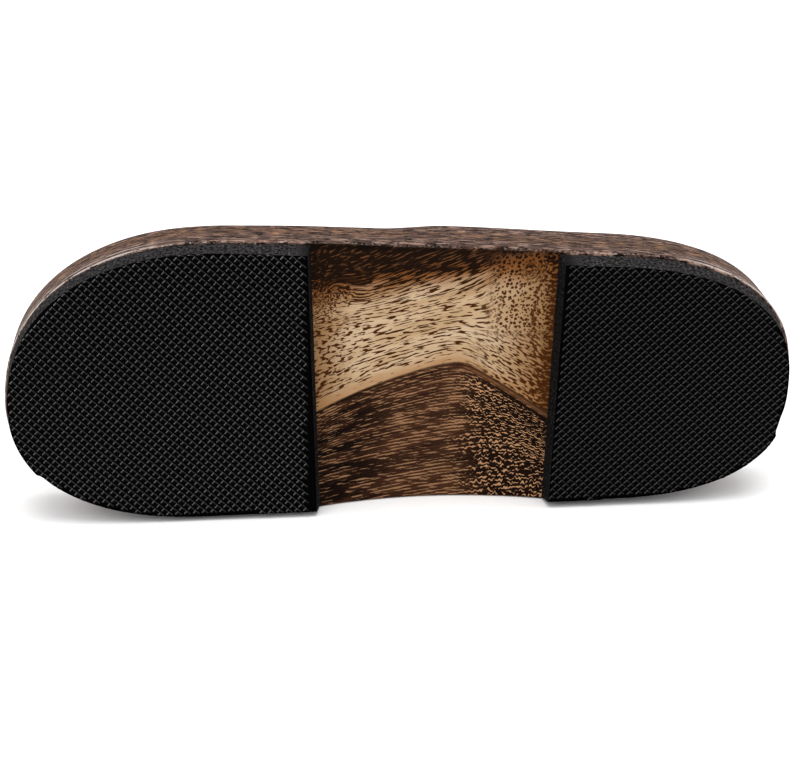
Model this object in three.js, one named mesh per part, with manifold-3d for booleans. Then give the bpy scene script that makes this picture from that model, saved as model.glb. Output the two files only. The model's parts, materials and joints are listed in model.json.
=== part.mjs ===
// A left geta sandal: a scooped wooden base on two rubber pads, with a padded thong strap.
// It lies on the flat inner side of its base, so that the tread faces forward.
//
// Every piece is worked out in the sandal's own frame, in millimetres: x runs from the toe tip
// to the heel, y from the outer edge to the inner edge, and z up from the tread.

import * as THREE from 'three';
import { mergeVertices } from 'three/addons/utils/BufferGeometryUtils.js';
import Module from 'manifold-3d';

// Driving dimensions of the sole, in mm.
const TOE_TIP_Y = 10;
const HEEL_TIP_Y = 0;
const HEEL_ROUND_START = 205;
const PAD_THICKNESS = 8;
const PAD_EDGE_ROUND = 0.6;
const BOND_GAP = 0.3;
const WOOD_CHAMFER = 0.6;
const TOE_SPRING = { length: 42, lift: 3 };

// The outlines at four levels: tips along x, half widths at the ball and at the back of the sides,
// how far the outer side bulges and between which x the bulge runs out again, and how full the
// quarters of the toe and of the heel are (2 is an ellipse), the outer quarter first.
const OUTLINE = {
  wood: {
    toe: 0, heel: 268.5, outer: 48.6, inner: 48.8, back: 44.8,
    bulge: 0.85, bulgeEnd: [150, 205], toeFull: [2.18, 2.08], heelFull: [2.45, 2.3],
  },
  woodFoot: {
    toe: 0.6, heel: 268, outer: 48, inner: 48.2, back: 44.2,
    bulge: 0.65, bulgeEnd: [112, 132], toeFull: [2.2, 2.08], heelFull: [2.45, 2.3],
  },
  padTop: {
    toe: 0.8, heel: 267.3, outer: 47.8, inner: 48, back: 43.8,
    bulge: 0.65, bulgeEnd: [112, 132], toeFull: [2.23, 2.1], heelFull: [2.5, 2.4],
  },
  tread: {
    toe: 1.6, heel: 266.4, outer: 46.8, inner: 47.1, back: 42.4,
    bulge: 0.15, bulgeEnd: [112, 132], toeFull: [2.23, 2.1], heelFull: [2.45, 2.6],
  },
};
const BULGE_START = [60, 105];

// How far back from the toe tip its two quarters reach.
const TOE_REACH = { outer: 77, inner: 65.5 };

// The gap between the pads: the pads' inner edges on the tread at mid width, and how they slant.
const PAD_INNER = {
  forefoot: { x: 103.4, slantDeg: 2.6 },
  heel: { x: 186.3, slantDeg: -0.9 },
  draft: 1,
};

// The arch scooped out of the wood between the pads.
const ARCH = { depth: 3.4, lean: 0.05, deepestShare: 0.5, margin: 0.4, steps: 24 };

// The footbed: two levels joined by a ramp, a slight fall behind the heel, dished towards the
// middle, with a rounded edge.
const FOOTBED = { forefoot: 28, heel: 33.2, rampStart: 127, rampEnd: 150, dish: 1.6, edgeRound: 2 };
const HEEL_FALL = { start: 200, end: 238, drop: 2.2 };

// The spine that the rings of the footbed and of the undersides shrink towards.
const SPINE = { start: 70, end: 215 };
const QUARTER_STEPS = 16;
const SIDE_STEPS = 30;

// One arm of the strap from the toe loop to its socket, as rise over the footbed. Lean turns the
// padded band from lying flat (0) to standing on edge (90) along the side of the foot.
const STRAP_ARM = [
  { x: 56, y: 0, rise: 20, width: 9.5, thick: 9, lean: 0 },
  { x: 58.6, y: 5.6, rise: 21, width: 11.5, thick: 9.6, lean: 8 },
  { x: 68, y: 10, rise: 25.5, width: 16, thick: 11, lean: 16 },
  { x: 84, y: 16.5, rise: 32, width: 19, thick: 12.4, lean: 28 },
  { x: 104, y: 25, rise: 37, width: 20, thick: 13, lean: 44 },
  { x: 126, y: 32, rise: 34.5, width: 20, thick: 13, lean: 62 },
  { x: 146, y: 35.5, rise: 25.5, width: 18.5, thick: 12.4, lean: 76 },
  { x: 161, y: 34.5, rise: 13, width: 15, thick: 11, lean: 82 },
  { x: 169, y: 32, rise: 3.5, width: 11, thick: 10, lean: 86 },
  { x: 172, y: 31, rise: -3, width: 9.6, thick: 9.6, lean: 88 },
  { x: 173, y: 31, rise: -9, width: 9.2, thick: 9.2, lean: 90 },
];
const STRAP_RING_POINTS = 16;
const STRAP_STEPS_PER_ROW = 5;
const STRAP_FULLNESS = 2.3;
const STRAP_SAG_LIMIT = 14;

// The cloth loop that holds the strap between the toes, and its oval post in the wood.
const TOE_LOOP = { ring: 7.2, cord: 2.2, bandWidth: 11, postX: 3.8, postY: 4.6, socketDepth: 9 };
const FIT_GAP = 0.35;

const COLOUR = { wood: 0x4a3023, rubber: 0x1b1a1a, cloth: 0x1d1b1d };

const wasm = await Module();
wasm.setup();

// Small helpers

const toRadians = THREE.MathUtils.degToRad;

function smoothStep(from, to, value) {
  return THREE.MathUtils.smoothstep(value, from, to);
}

// Lift of the tread's plane towards the toe, a parabola over the last stretch.
function toeSpring(x) {
  const share = Math.max(0, TOE_SPRING.length - x) / TOE_SPRING.length;
  return TOE_SPRING.lift * share * share;
}

// Height of the footbed's edge above the tread.
function footbedEdge(x) {
  const ramp = smoothStep(FOOTBED.rampStart, FOOTBED.rampEnd, x);
  const fall = HEEL_FALL.drop * smoothStep(HEEL_FALL.start, HEEL_FALL.end, x);
  return THREE.MathUtils.lerp(FOOTBED.forefoot, FOOTBED.heel, ramp) - fall + toeSpring(x);
}

// Outlines and lofted solids

// A side of the outline: a straight line from the ball of the foot to the start of the heel round,
// which on the outer side bulges a little.
function sideLine(level, side) {
  const sign = side === 'inner' ? 1 : -1;
  const ball = new THREE.Vector2(TOE_REACH[side], sign * level[side]);
  const heel = new THREE.Vector2(HEEL_ROUND_START, sign * level.back);
  const slope = (heel.y - ball.y) / (heel.x - ball.x);
  const most = side === 'outer' ? level.bulge : 0;
  const bulge = (x) => most * smoothStep(...BULGE_START, x) * (1 - smoothStep(...level.bulgeEnd, x));
  return { ball, heel, slope, at: (x) => ball.y + slope * (x - ball.x) - bulge(x) };
}

// A quarter round from the tip of an end to the side line that it runs into without a corner:
// a superellipse whose half width follows that line.
function quarter(tip, line, startX, full) {
  const points = [];
  for (let step = 0; step <= QUARTER_STEPS; step += 1) {
    const angle = (step / QUARTER_STEPS) * Math.PI / 2;
    const x = startX + (tip.x - startX) * Math.cos(angle) ** (2 / full);
    const across = Math.sin(angle) ** (2 / full);
    points.push(new THREE.Vector2(x, tip.y + (line.at(x) - tip.y) * across));
  }
  return points;
}

// Points of a side between two places along the sole.
function sidePoints(line, fromX, toX) {
  const points = [];
  for (let step = 1; step < SIDE_STEPS; step += 1) {
    const x = THREE.MathUtils.lerp(fromX, toX, step / SIDE_STEPS);
    points.push(new THREE.Vector2(x, line.at(x)));
  }
  return points;
}

// A closed outline, anticlockwise from above: toe tip, outer side, heel tip, inner side.
function outline(level) {
  const toe = new THREE.Vector2(level.toe, TOE_TIP_Y);
  const heel = new THREE.Vector2(level.heel, HEEL_TIP_Y);
  const outer = sideLine(level, 'outer');
  const inner = sideLine(level, 'inner');
  return [
    ...quarter(toe, outer, outer.ball.x, level.toeFull[0]),
    ...sidePoints(outer, outer.ball.x, outer.heel.x),
    ...quarter(heel, outer, outer.heel.x, level.heelFull[0]).reverse(),
    ...quarter(heel, inner, inner.heel.x, level.heelFull[1]).slice(1),
    ...sidePoints(inner, inner.heel.x, inner.ball.x),
    ...quarter(toe, inner, inner.ball.x, level.toeFull[1]).reverse().slice(0, -1),
  ];
}

// The flat inner wall of the wood, the face that the sandal rests on.
const INNER_WALL = sideLine(OUTLINE.wood, 'inner');

// Moves an outline in along its own normals.
function inset(points, distance) {
  return points.map((point, index) => {
    const before = points.at(index - 1);
    const after = points[(index + 1) % points.length];
    const along = after.clone().sub(before).normalize();
    return new THREE.Vector2(point.x - along.y * distance, point.y + along.x * distance);
  });
}

// Shrinks an outline towards the spine: share 0 leaves it, 1 would flatten it onto the spine.
function shrink(points, share) {
  return points.map((point) => {
    const spineX = THREE.MathUtils.clamp(point.x, SPINE.start, SPINE.end);
    return point.clone().lerp(new THREE.Vector2(spineX, 0), share);
  });
}

function raise(points, height) {
  return points.map((point) => new THREE.Vector3(point.x, point.y, height(point.x)));
}

// A closed solid through rings of equal, even length. Each end is closed by a strip that joins
// point i of one side to point n - i of the other.
function loft(rings) {
  const count = rings[0].length;
  const triangles = [];
  const closeEnd = (first, facingBack) => {
    for (let index = 1; index < count / 2; index += 1) {
      const corners = [index - 1, index, count - index, (count - index + 1) % count].map((i) => first + i);
      if (facingBack) corners.reverse();
      const [a, b, c, d] = corners;
      if (new Set([a, b, c]).size === 3) triangles.push(a, b, c);
      if (new Set([a, c, d]).size === 3) triangles.push(a, c, d);
    }
    const last = count / 2;
    const tip = [last - 1, last, last + 1].map((i) => first + i);
    if (facingBack) tip.reverse();
    triangles.push(...tip);
  };
  closeEnd(0, true);
  for (let ring = 1; ring < rings.length; ring += 1) {
    const below = (ring - 1) * count;
    const above = ring * count;
    for (let index = 0; index < count; index += 1) {
      const next = (index + 1) % count;
      triangles.push(below + index, below + next, above + next);
      triangles.push(below + index, above + next, above + index);
    }
  }
  closeEnd((rings.length - 1) * count, false);
  const geometry = new THREE.BufferGeometry().setFromPoints(rings.flat());
  geometry.setIndex(triangles);
  return geometry;
}

// A four-sided block between two levels, given its corners anticlockwise from above.
function block(lowCorners, highCorners, low, high) {
  return loft([raise(lowCorners, () => low), raise(highCorners, () => high)]);
}

// Joining and cutting

function toSolid(geometry) {
  const bare = geometry.clone();
  bare.deleteAttribute('normal');
  bare.deleteAttribute('uv');
  const merged = mergeVertices(bare);
  return new wasm.Manifold(new wasm.Mesh({
    numProp: 3,
    vertProperties: new Float32Array(merged.attributes.position.array),
    triVerts: new Uint32Array(merged.index.array),
  }));
}

function toGeometry(solid) {
  const { vertProperties, triVerts } = solid.getMesh();
  const geometry = new THREE.BufferGeometry();
  geometry.setAttribute('position', new THREE.BufferAttribute(new Float32Array(vertProperties), 3));
  geometry.setIndex(new THREE.BufferAttribute(new Uint32Array(triVerts), 1));
  return geometry;
}

// The strap

// The strap's centre line and its sizes, from the outer socket round the toe loop to the inner one.
// Sag is how far the highest part of the strap has dropped towards the inner side.
function strapCurves(sag) {
  const highest = Math.max(...STRAP_ARM.map((row) => row.rise));
  const rows = [
    ...STRAP_ARM.slice(1).reverse().map((row) => ({ ...row, y: -row.y, lean: -row.lean })),
    ...STRAP_ARM,
  ];
  const centres = rows.map((row) => new THREE.Vector3(
    row.x,
    row.y + sag * Math.max(0, row.rise) / highest,
    footbedEdge(row.x) + row.rise,
  ));
  const sizes = rows.map((row) => new THREE.Vector3(row.width, row.thick, row.lean));
  return {
    centre: new THREE.CatmullRomCurve3(centres, false, 'catmullrom', 0.5),
    size: new THREE.CatmullRomCurve3(sizes, false, 'catmullrom', 0.5),
    steps: (rows.length - 1) * STRAP_STEPS_PER_ROW,
  };
}

// Rings of the padded band: a rounded oval across the centre line, flat side to the foot.
function strapRings(sag, grow = 0) {
  const { centre, size, steps } = strapCurves(sag);
  const rings = [];
  for (let step = 0; step <= steps; step += 1) {
    const share = step / steps;
    const middle = centre.getPoint(share);
    const along = centre.getTangent(share);
    const { x: width, y: thick, z: lean } = size.getPoint(share);
    const out = new THREE.Vector3(0, Math.sin(toRadians(lean)), Math.cos(toRadians(lean)));
    const across = new THREE.Vector3().crossVectors(out, along).normalize();
    out.crossVectors(along, across).normalize();
    const ring = [];
    for (let index = 0; index < STRAP_RING_POINTS; index += 1) {
      const angle = (index / STRAP_RING_POINTS) * 2 * Math.PI;
      const cos = Math.cos(angle);
      const sin = Math.sin(angle);
      const norm = Math.abs(cos) ** STRAP_FULLNESS + Math.abs(sin) ** STRAP_FULLNESS;
      const reach = norm ** (-1 / STRAP_FULLNESS);
      ring.push(middle.clone()
        .addScaledVector(across, cos * reach * (width / 2 + grow))
        .addScaledVector(out, sin * reach * (thick / 2 + grow)));
    }
    rings.push(ring);
  }
  return rings;
}

// How far the strap reaches past the plane of the inner wall.
function strapOverhang(sag) {
  return Math.max(...strapRings(sag).flat().map((point) => point.y - INNER_WALL.at(point.x)));
}

// The soft strap drops until its inner arm lies on the surface that the wall rests on.
function restingSag() {
  let low = 0;
  let high = STRAP_SAG_LIMIT;
  for (let round = 0; round < 40; round += 1) {
    const middle = (low + high) / 2;
    if (strapOverhang(middle) > 0) {
      high = middle;
    } else {
      low = middle;
    }
  }
  return low;
}

const SAG = restingSag();

function strap(grow = 0) {
  return toSolid(loft(strapRings(SAG, grow)));
}

// The toe loop: a cloth band round the front of the strap, on a post that is set in the wood.
function toeLoop(grow = 0) {
  const front = STRAP_ARM[0];
  const floor = footbedEdge(front.x);
  const highest = Math.max(...STRAP_ARM.map((row) => row.rise));
  const y = SAG * front.rise / highest;
  const ring = new THREE.TorusGeometry(TOE_LOOP.ring, TOE_LOOP.cord, 12, 28);
  ring.rotateX(Math.PI / 2);
  ring.scale(1, TOE_LOOP.bandWidth / (2 * TOE_LOOP.cord), 1);
  ring.translate(front.x, y, floor + front.rise);
  const bottom = floor - TOE_LOOP.socketDepth - grow;
  const top = floor + front.rise - TOE_LOOP.ring;
  const postRows = [bottom, floor - FOOTBED.dish, top];
  const postShift = [0, 0, y];
  const rings = postRows.map((z, row) => {
    const oval = [];
    for (let index = 0; index < STRAP_RING_POINTS; index += 1) {
      const angle = (index / STRAP_RING_POINTS) * 2 * Math.PI;
      oval.push(new THREE.Vector3(
        front.x + (TOE_LOOP.postX + grow) * Math.cos(angle),
        postShift[row] + (TOE_LOOP.postY + grow) * Math.sin(angle),
        z,
      ));
    }
    return oval;
  });
  return toSolid(loft(rings)).add(toSolid(ring));
}

// The wooden base

// The scoop across the whole width: a prism under a two-part parabola between the pads' edges.
function archCutter() {
  const reach = 90;
  const edgeAt = (pad, shift, y) => pad.x + shift + y * Math.tan(toRadians(pad.slantDeg));
  const forefootShift = PAD_INNER.draft + ARCH.margin;
  const base = PAD_THICKNESS + BOND_GAP;
  const rings = [];
  for (let step = 0; step <= ARCH.steps; step += 1) {
    const share = step / ARCH.steps;
    const span = share < ARCH.deepestShare ? ARCH.deepestShare : 1 - ARCH.deepestShare;
    const away = (share - ARCH.deepestShare) / span;
    const heightAt = (y) => base + (ARCH.depth + ARCH.lean * y) * (1 - away * away);
    const corner = (y, z) => new THREE.Vector3(THREE.MathUtils.lerp(
      edgeAt(PAD_INNER.forefoot, forefootShift, y),
      edgeAt(PAD_INNER.heel, -forefootShift, y),
      share,
    ), y, z);
    rings.push([
      corner(-reach, 0),
      corner(reach, 0),
      corner(reach, heightAt(reach)),
      corner(-reach, heightAt(-reach)),
    ]);
  }
  return toSolid(loft(rings));
}

function woodBase() {
  const wall = outline(OUTLINE.wood);
  const foot = outline(OUTLINE.woodFoot);
  const underside = (x) => PAD_THICKNESS + BOND_GAP + toeSpring(x);
  const round = FOOTBED.edgeRound;
  const rings = [];
  for (const share of [0.8, 0.55, 0.3, 0.12, 0]) {
    rings.push(raise(shrink(foot, share), underside));
  }
  rings.push(raise(wall, (x) => underside(x) + WOOD_CHAMFER));
  for (const degrees of [0, 30, 60, 90]) {
    const angle = toRadians(degrees);
    const ring = inset(wall, round * (1 - Math.cos(angle)));
    rings.push(raise(ring, (x) => footbedEdge(x) - round * (1 - Math.sin(angle))));
  }
  const bed = inset(wall, round);
  for (const share of [0.15, 0.35, 0.6, 0.85]) {
    const depth = FOOTBED.dish * (1 - (1 - share) ** 2);
    rings.push(raise(shrink(bed, share), (x) => footbedEdge(x) - depth));
  }
  return toSolid(loft(rings))
    .subtract(archCutter())
    .subtract(strap(FIT_GAP))
    .subtract(toeLoop(FIT_GAP));
}

// The rubber pads

// One slab under the whole sole, which the two pads are cut from.
function padSlab() {
  const edge = outline(OUTLINE.tread);
  const face = inset(edge, PAD_EDGE_ROUND);
  const top = outline(OUTLINE.padTop);
  const rings = [];
  for (const share of [0.8, 0.55, 0.3, 0.12, 0]) {
    rings.push(raise(shrink(face, share), toeSpring));
  }
  rings.push(raise(edge, (x) => toeSpring(x) + PAD_EDGE_ROUND));
  for (const share of [0, 0.12, 0.3, 0.55, 0.8]) {
    rings.push(raise(shrink(top, share), (x) => PAD_THICKNESS + toeSpring(x)));
  }
  return toSolid(loft(rings));
}

// Keeps the part of the slab on one side of a pad's slanted, drafted inner edge.
function padKeeper(pad, farX) {
  const reach = 90;
  const low = -4;
  const high = 16;
  const towards = Math.sign(farX - pad.x);
  const edge = (y, z) => pad.x + y * Math.tan(toRadians(pad.slantDeg))
    - towards * PAD_INNER.draft * z / PAD_THICKNESS;
  const corners = (z) => {
    const list = [
      new THREE.Vector2(farX, -reach),
      new THREE.Vector2(edge(-reach, z), -reach),
      new THREE.Vector2(edge(reach, z), reach),
      new THREE.Vector2(farX, reach),
    ];
    return towards < 0 ? list : list.reverse();
  };
  return toSolid(block(corners(low), corners(high), low, high));
}

function forefootPad() {
  return padSlab().intersect(padKeeper(PAD_INNER.forefoot, -40));
}

function heelPad() {
  return padSlab().intersect(padKeeper(PAD_INNER.heel, 310));
}

// Assembly

function piece(name, solid, colour, roughness) {
  const material = new THREE.MeshStandardMaterial({ color: colour, roughness, metalness: 0 });
  const geometry = toGeometry(solid);
  geometry.computeVertexNormals();
  const mesh = new THREE.Mesh(geometry, material);
  mesh.name = name;
  return mesh;
}

const sandal = new THREE.Group();
sandal.add(
  piece('wood_base', woodBase(), COLOUR.wood, 0.55),
  piece('forefoot_pad', forefootPad(), COLOUR.rubber, 0.8),
  piece('heel_pad', heelPad(), COLOUR.rubber, 0.8),
  piece('thong_strap', strap(), COLOUR.cloth, 0.9),
  piece('toe_loop', toeLoop().subtract(strap(FIT_GAP)), COLOUR.cloth, 0.9),
);

// Turned so that the inner wall lies level underneath, tread forward, outer side up.
sandal.rotation.z = -Math.atan(INNER_WALL.slope);
const lying = new THREE.Group();
lying.rotation.x = -Math.PI / 2;
lying.add(sandal);

const group = new THREE.Group();
group.add(lying);
group.updateMatrixWorld(true);
const extent = new THREE.Box3().setFromObject(group, true);
const centre = extent.getCenter(new THREE.Vector3());
lying.position.set(-centre.x, -centre.y, -extent.min.z);

export default group;
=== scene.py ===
# %% [markdown]
# # A geta sandal seen from below
# The object is a left sandal: a wooden base with a scooped arch, two studded rubber pads glued
# under it, and a padded thong strap. It lies on its flat inner side, so the tread faces us.
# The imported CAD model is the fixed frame. Each piece below is a finer surface that stands where
# its CAD solid stands, so nothing has to be fitted by eye.

import json
import math

import bmesh
import bpy
import numpy as np
from mathutils import Matrix, Vector

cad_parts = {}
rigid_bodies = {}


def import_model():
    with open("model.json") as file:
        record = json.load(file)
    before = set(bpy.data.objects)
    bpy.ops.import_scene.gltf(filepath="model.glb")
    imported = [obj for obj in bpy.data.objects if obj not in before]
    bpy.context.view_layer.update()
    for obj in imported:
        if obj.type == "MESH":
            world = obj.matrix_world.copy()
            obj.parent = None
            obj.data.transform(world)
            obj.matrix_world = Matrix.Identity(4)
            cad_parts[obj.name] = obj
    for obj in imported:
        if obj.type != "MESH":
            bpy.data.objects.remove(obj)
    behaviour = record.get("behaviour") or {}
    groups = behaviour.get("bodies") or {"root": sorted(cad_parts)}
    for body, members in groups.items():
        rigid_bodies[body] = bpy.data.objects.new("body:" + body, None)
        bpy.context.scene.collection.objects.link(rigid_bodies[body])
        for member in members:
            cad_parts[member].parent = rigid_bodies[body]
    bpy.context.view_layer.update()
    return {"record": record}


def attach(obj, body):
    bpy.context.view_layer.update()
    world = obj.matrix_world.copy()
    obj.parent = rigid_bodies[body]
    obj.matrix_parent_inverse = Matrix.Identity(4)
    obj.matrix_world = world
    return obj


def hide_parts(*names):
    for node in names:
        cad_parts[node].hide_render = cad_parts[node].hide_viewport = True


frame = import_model()

# %% [markdown]
# ## The sandal's own frame
# A shoemaker measures along the sole, across it and up from the tread. The record holds two
# points on the tread, so these three directions can be read from it instead of being typed in.
# All sizes below are millimetres in that frame: x from toe to heel, y from the outer edge to the
# inner edge, z up from the tread.

# %% Directions of the sandal
FOREFOOT_MARK_X = 70.0
mounts = {mount["name"]: mount for mount in frame["record"]["mounts"]}
forefoot_mark = np.array(mounts["forefoot_tread"]["pos_m"])
heel_mark = np.array(mounts["heel_tread"]["pos_m"])
along_sole = heel_mark - forefoot_mark
along_sole = along_sole / np.linalg.norm(along_sole)
up_sole = -np.array(mounts["forefoot_tread"]["axis"], float)
AXES = np.stack([along_sole, np.cross(up_sole, along_sole), up_sole])
ORIGIN = forefoot_mark - along_sole * FOREFOOT_MARK_X / 1000


def place(points):
    """Sandal millimetres to frame metres: the origin plus each measure along its own direction."""
    return ORIGIN + np.asarray(points, float) / 1000 @ AXES


def measure(points):
    """Frame metres back to sandal millimetres: the same sum undone."""
    return (np.asarray(points, float) - ORIGIN) @ AXES.T * 1000


print("heel mark in sandal mm:", measure(heel_mark).round(2))

# %% [markdown]
# ## The camera
# The photograph was taken from a little above, looking at the tread with the toe on the left.
# The lens is long, so the near and the far edge hardly differ in scale.

# %% Camera
CAMERA_AT = (75.48, -241.89, -625.08)
CAMERA_FORWARD = (0.08529, 0.35746, 0.93003)
CAMERA_DOWN = (-0.00489, 0.93357, -0.35837)
LENS_MM = 90.0
SENSOR_MM = 36.0

forward = np.array(CAMERA_FORWARD) @ AXES
down = np.array(CAMERA_DOWN) @ AXES
right = np.cross(down, forward)
turn = np.eye(4)
turn[:3, :3] = np.stack([right, -down, -forward], axis=1)
turn[:3, 3] = place(CAMERA_AT)
camera_data = bpy.data.cameras.new("camera")
camera_data.lens = LENS_MM
camera_data.sensor_width = SENSOR_MM
camera = bpy.data.objects.new("camera", camera_data)
camera.matrix_world = Matrix(turn.tolist())
bpy.context.scene.collection.objects.link(camera)
bpy.context.scene.camera = camera
print("camera at, m:", turn[:3, 3].round(3))

# %% [markdown]
# ## From arrays to a mesh
# Every piece is a grid of points: rows of a section carried along the sole, or rings carried up
# a wall. The helpers below turn such a grid into faces that point outwards. Where a row closes up
# to one point, as at the toe, the doubled points are merged so that the skin is closed. Numbers
# stored at the points let a material know later where on the sandal it is.

# %% Grid and mesh helpers
WELD_DISTANCE = 2e-6


def smooth_step(start, end, value):
    """0 before start, 1 after end, and between them three squares less two cubes of the share."""
    share = np.clip((np.asarray(value, float) - start) / (end - start), 0, 1)
    return share * share * (3 - 2 * share)


def grid_faces(rows, columns, wrap):
    """Four corners for each cell of a grid; wrap joins the last column to the first."""
    last = columns if wrap else columns - 1
    row, column = np.meshgrid(np.arange(rows - 1), np.arange(last), indexing="ij")
    beside = (column + 1) % columns
    corners = [row * columns + column, (row + 1) * columns + column,
               (row + 1) * columns + beside, row * columns + beside]
    return np.stack(corners, axis=-1).reshape(-1, 4)


def outward(points, faces):
    """Turns all faces round if the volume under them, a sum of thin pyramids, is negative."""
    a, b, c, d = (points[faces[:, k]] for k in range(4))
    volume = np.einsum("ij,ij->i", a, np.cross(b, c)).sum()
    volume += np.einsum("ij,ij->i", a, np.cross(c, d)).sum()
    return faces if volume > 0 else faces[:, ::-1]


def as_face_list(faces):
    """Faces as lists of corners, each once, so a cell with a doubled corner is a triangle."""
    return [list(dict.fromkeys(row)) for row in faces.tolist()]


def linked(name, points, faces):
    """A mesh object at the origin from sandal points and faces."""
    mesh = bpy.data.meshes.new(name)
    mesh.from_pydata(place(points).tolist(), [], as_face_list(faces))
    piece = bpy.data.objects.new(name, mesh)
    bpy.context.scene.collection.objects.link(piece)
    return piece


def new_piece(name, points, faces, sharp_deg, weld=True):
    """A checked mesh object, smooth but for sharp corners; weld merges doubled points."""
    piece = linked(name, points, faces)
    mesh = piece.data
    if weld:
        work = bmesh.new()
        work.from_mesh(mesh)
        bmesh.ops.remove_doubles(work, verts=work.verts, dist=WELD_DISTANCE)
        work.to_mesh(mesh)
        work.free()
    mesh.validate()
    shade(piece, sharp_deg)
    return piece


def shade(piece, sharp_deg):
    """Smooth shading that breaks wherever two faces meet at more than sharp_deg."""
    piece.data.shade_smooth()
    piece.data.set_sharp_from_angle(angle=math.radians(sharp_deg))


def corners_of(piece):
    """The piece's points in sandal millimetres."""
    flat = np.zeros(len(piece.data.vertices) * 3, np.float32)
    piece.data.vertices.foreach_get("co", flat)
    return measure(flat.reshape(-1, 3))


def upward_share(piece):
    """How far the surface at each point faces up out of the footbed: 1 straight up, -1 straight down."""
    flat = np.zeros(len(piece.data.vertices) * 3, np.float32)
    piece.data.vertex_normals.foreach_get("vector", flat)
    directions = measure(flat.reshape(-1, 3) / 1000) - measure(np.zeros((1, 3)))
    return directions[:, 2]


def give_attribute(piece, name, vectors, domain="POINT"):
    """Stores three numbers at each point or face, for a material to read."""
    attribute = piece.data.attributes.new(name, "FLOAT_VECTOR", domain)
    attribute.data.foreach_set("vector", np.asarray(vectors, np.float32).ravel())


def settle(piece, node, material):
    """The piece takes its node's place, body, slot and finish, and says how many faces it has."""
    piece.data.materials.clear()
    piece.data.materials.append(material)
    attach(piece, "root")
    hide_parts(node)
    piece.data.calc_loop_triangles()
    print(piece.name, "stands for", node, "with", len(piece.data.loop_triangles), "triangles")


# %% [markdown]
# ## The sole's outline
# The outline is two long sides, slightly closer at the heel, with a quarter round at each of the
# four corners. The toe's tip sits towards the big toe, which makes this a left sandal. A quarter
# round is a superellipse: the cosine and sine of an angle, each raised to 2 / fullness. The inner
# side is straight, and the outer one bulges a little, as a hand-shaped sole does.

# %% Outline of the sole
TOE_TIP_Y = 10.0
HEEL_TIP_Y = 0.0
HEEL_ROUND_START = 205.0
TOE_REACH = {"outer": 77.0, "inner": 65.5}
SIDE_SIGN = {"outer": -1, "inner": 1}
BULGE_START = (60.0, 105.0)
# For each level: the tips along x, half widths at the ball and at the back, the outer side's bulge
# and where it runs out, and the fullness of the toe's and the heel's quarters, outer then inner.
OUTLINE = {
    "wall": {
        "toe": 0.0, "heel": 268.5, "outer": 48.6, "inner": 48.8, "back": 44.8,
        "bulge": 0.85, "bulge_end": (205.0, 150.0), "toe_full": (2.18, 2.08), "heel_full": (2.45, 2.3),
    },
    "foot": {
        "toe": 0.6, "heel": 268.0, "outer": 48.0, "inner": 48.2, "back": 44.2,
        "bulge": 0.65, "bulge_end": (132.0, 112.0), "toe_full": (2.2, 2.08), "heel_full": (2.45, 2.3),
    },
    "pad_top": {
        "toe": 0.8, "heel": 267.3, "outer": 47.8, "inner": 48.0, "back": 43.8,
        "bulge": 0.65, "bulge_end": (132.0, 112.0), "toe_full": (2.23, 2.1), "heel_full": (2.5, 2.4),
    },
    "tread": {
        "toe": 1.6, "heel": 266.4, "outer": 46.8, "inner": 47.1, "back": 42.4,
        "bulge": 0.15, "bulge_end": (132.0, 112.0), "toe_full": (2.23, 2.1), "heel_full": (2.45, 2.6),
    },
}


def side_at(level, side, x):
    """y of a side at x: a straight line from the ball to the heel round, less the outer bulge."""
    size = OUTLINE[level]
    start = SIDE_SIGN[side] * size[side]
    slope = (SIDE_SIGN[side] * size["back"] - start) / (HEEL_ROUND_START - TOE_REACH[side])
    most = size["bulge"] if side == "outer" else 0.0
    bulge = most * smooth_step(*BULGE_START, x) * smooth_step(*size["bulge_end"], x)
    return start + slope * (x - TOE_REACH[side]) - bulge


def meet_line(level, side, x_at_middle, slant):
    """Where the side meets the slanted line x = x_at_middle + slant * y, found by going round thrice."""
    x = x_at_middle
    for _ in range(3):
        x = x_at_middle + slant * float(side_at(level, side, x))
    return x


def quarter_round(level, side, end, steps):
    """Points from an end's tip to the side: x runs with the cosine, y with the sine."""
    size = OUTLINE[level]
    toe = end == "toe"
    tip_x, tip_y = (size["toe"], TOE_TIP_Y) if toe else (size["heel"], HEEL_TIP_Y)
    begin = TOE_REACH[side] if toe else HEEL_ROUND_START
    full = size[end + "_full"][side == "inner"]
    angle = np.linspace(0, np.pi / 2, steps + 1)
    x = begin + (tip_x - begin) * np.cos(angle) ** (2 / full)
    x[-1] = begin
    y = tip_y + (side_at(level, side, x) - tip_y) * np.sin(angle) ** (2 / full)
    return np.stack([x, y], axis=1)


def side_points(level, side, marks):
    """Points along the side through the given x marks, as (x, steps before it) pairs."""
    stretches = zip(marks, marks[1:])
    x = [np.linspace(before, after, steps + 1)[1:] for (before, _), (after, steps) in stretches]
    x = np.concatenate(x)
    return np.stack([x, side_at(level, side, x)], axis=1)


tread_toe = quarter_round("tread", "outer", "toe", 8)
print("toe quarter from", tread_toe[0].round(1), "to", tread_toe[-1].round(1))

# %% [markdown]
# ## The wooden base
# A geta's base is one block: flat under the pads, scooped between them so that it is lighter and
# gives underfoot, and slightly dished on top. A boolean of boxes would give the form but no even
# grid, so the base is a section carried along the sole: underside, edge, wall, rounded rim and
# footbed, all the way round. Stations line up with the arch's slanted ends to keep them crisp.

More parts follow.
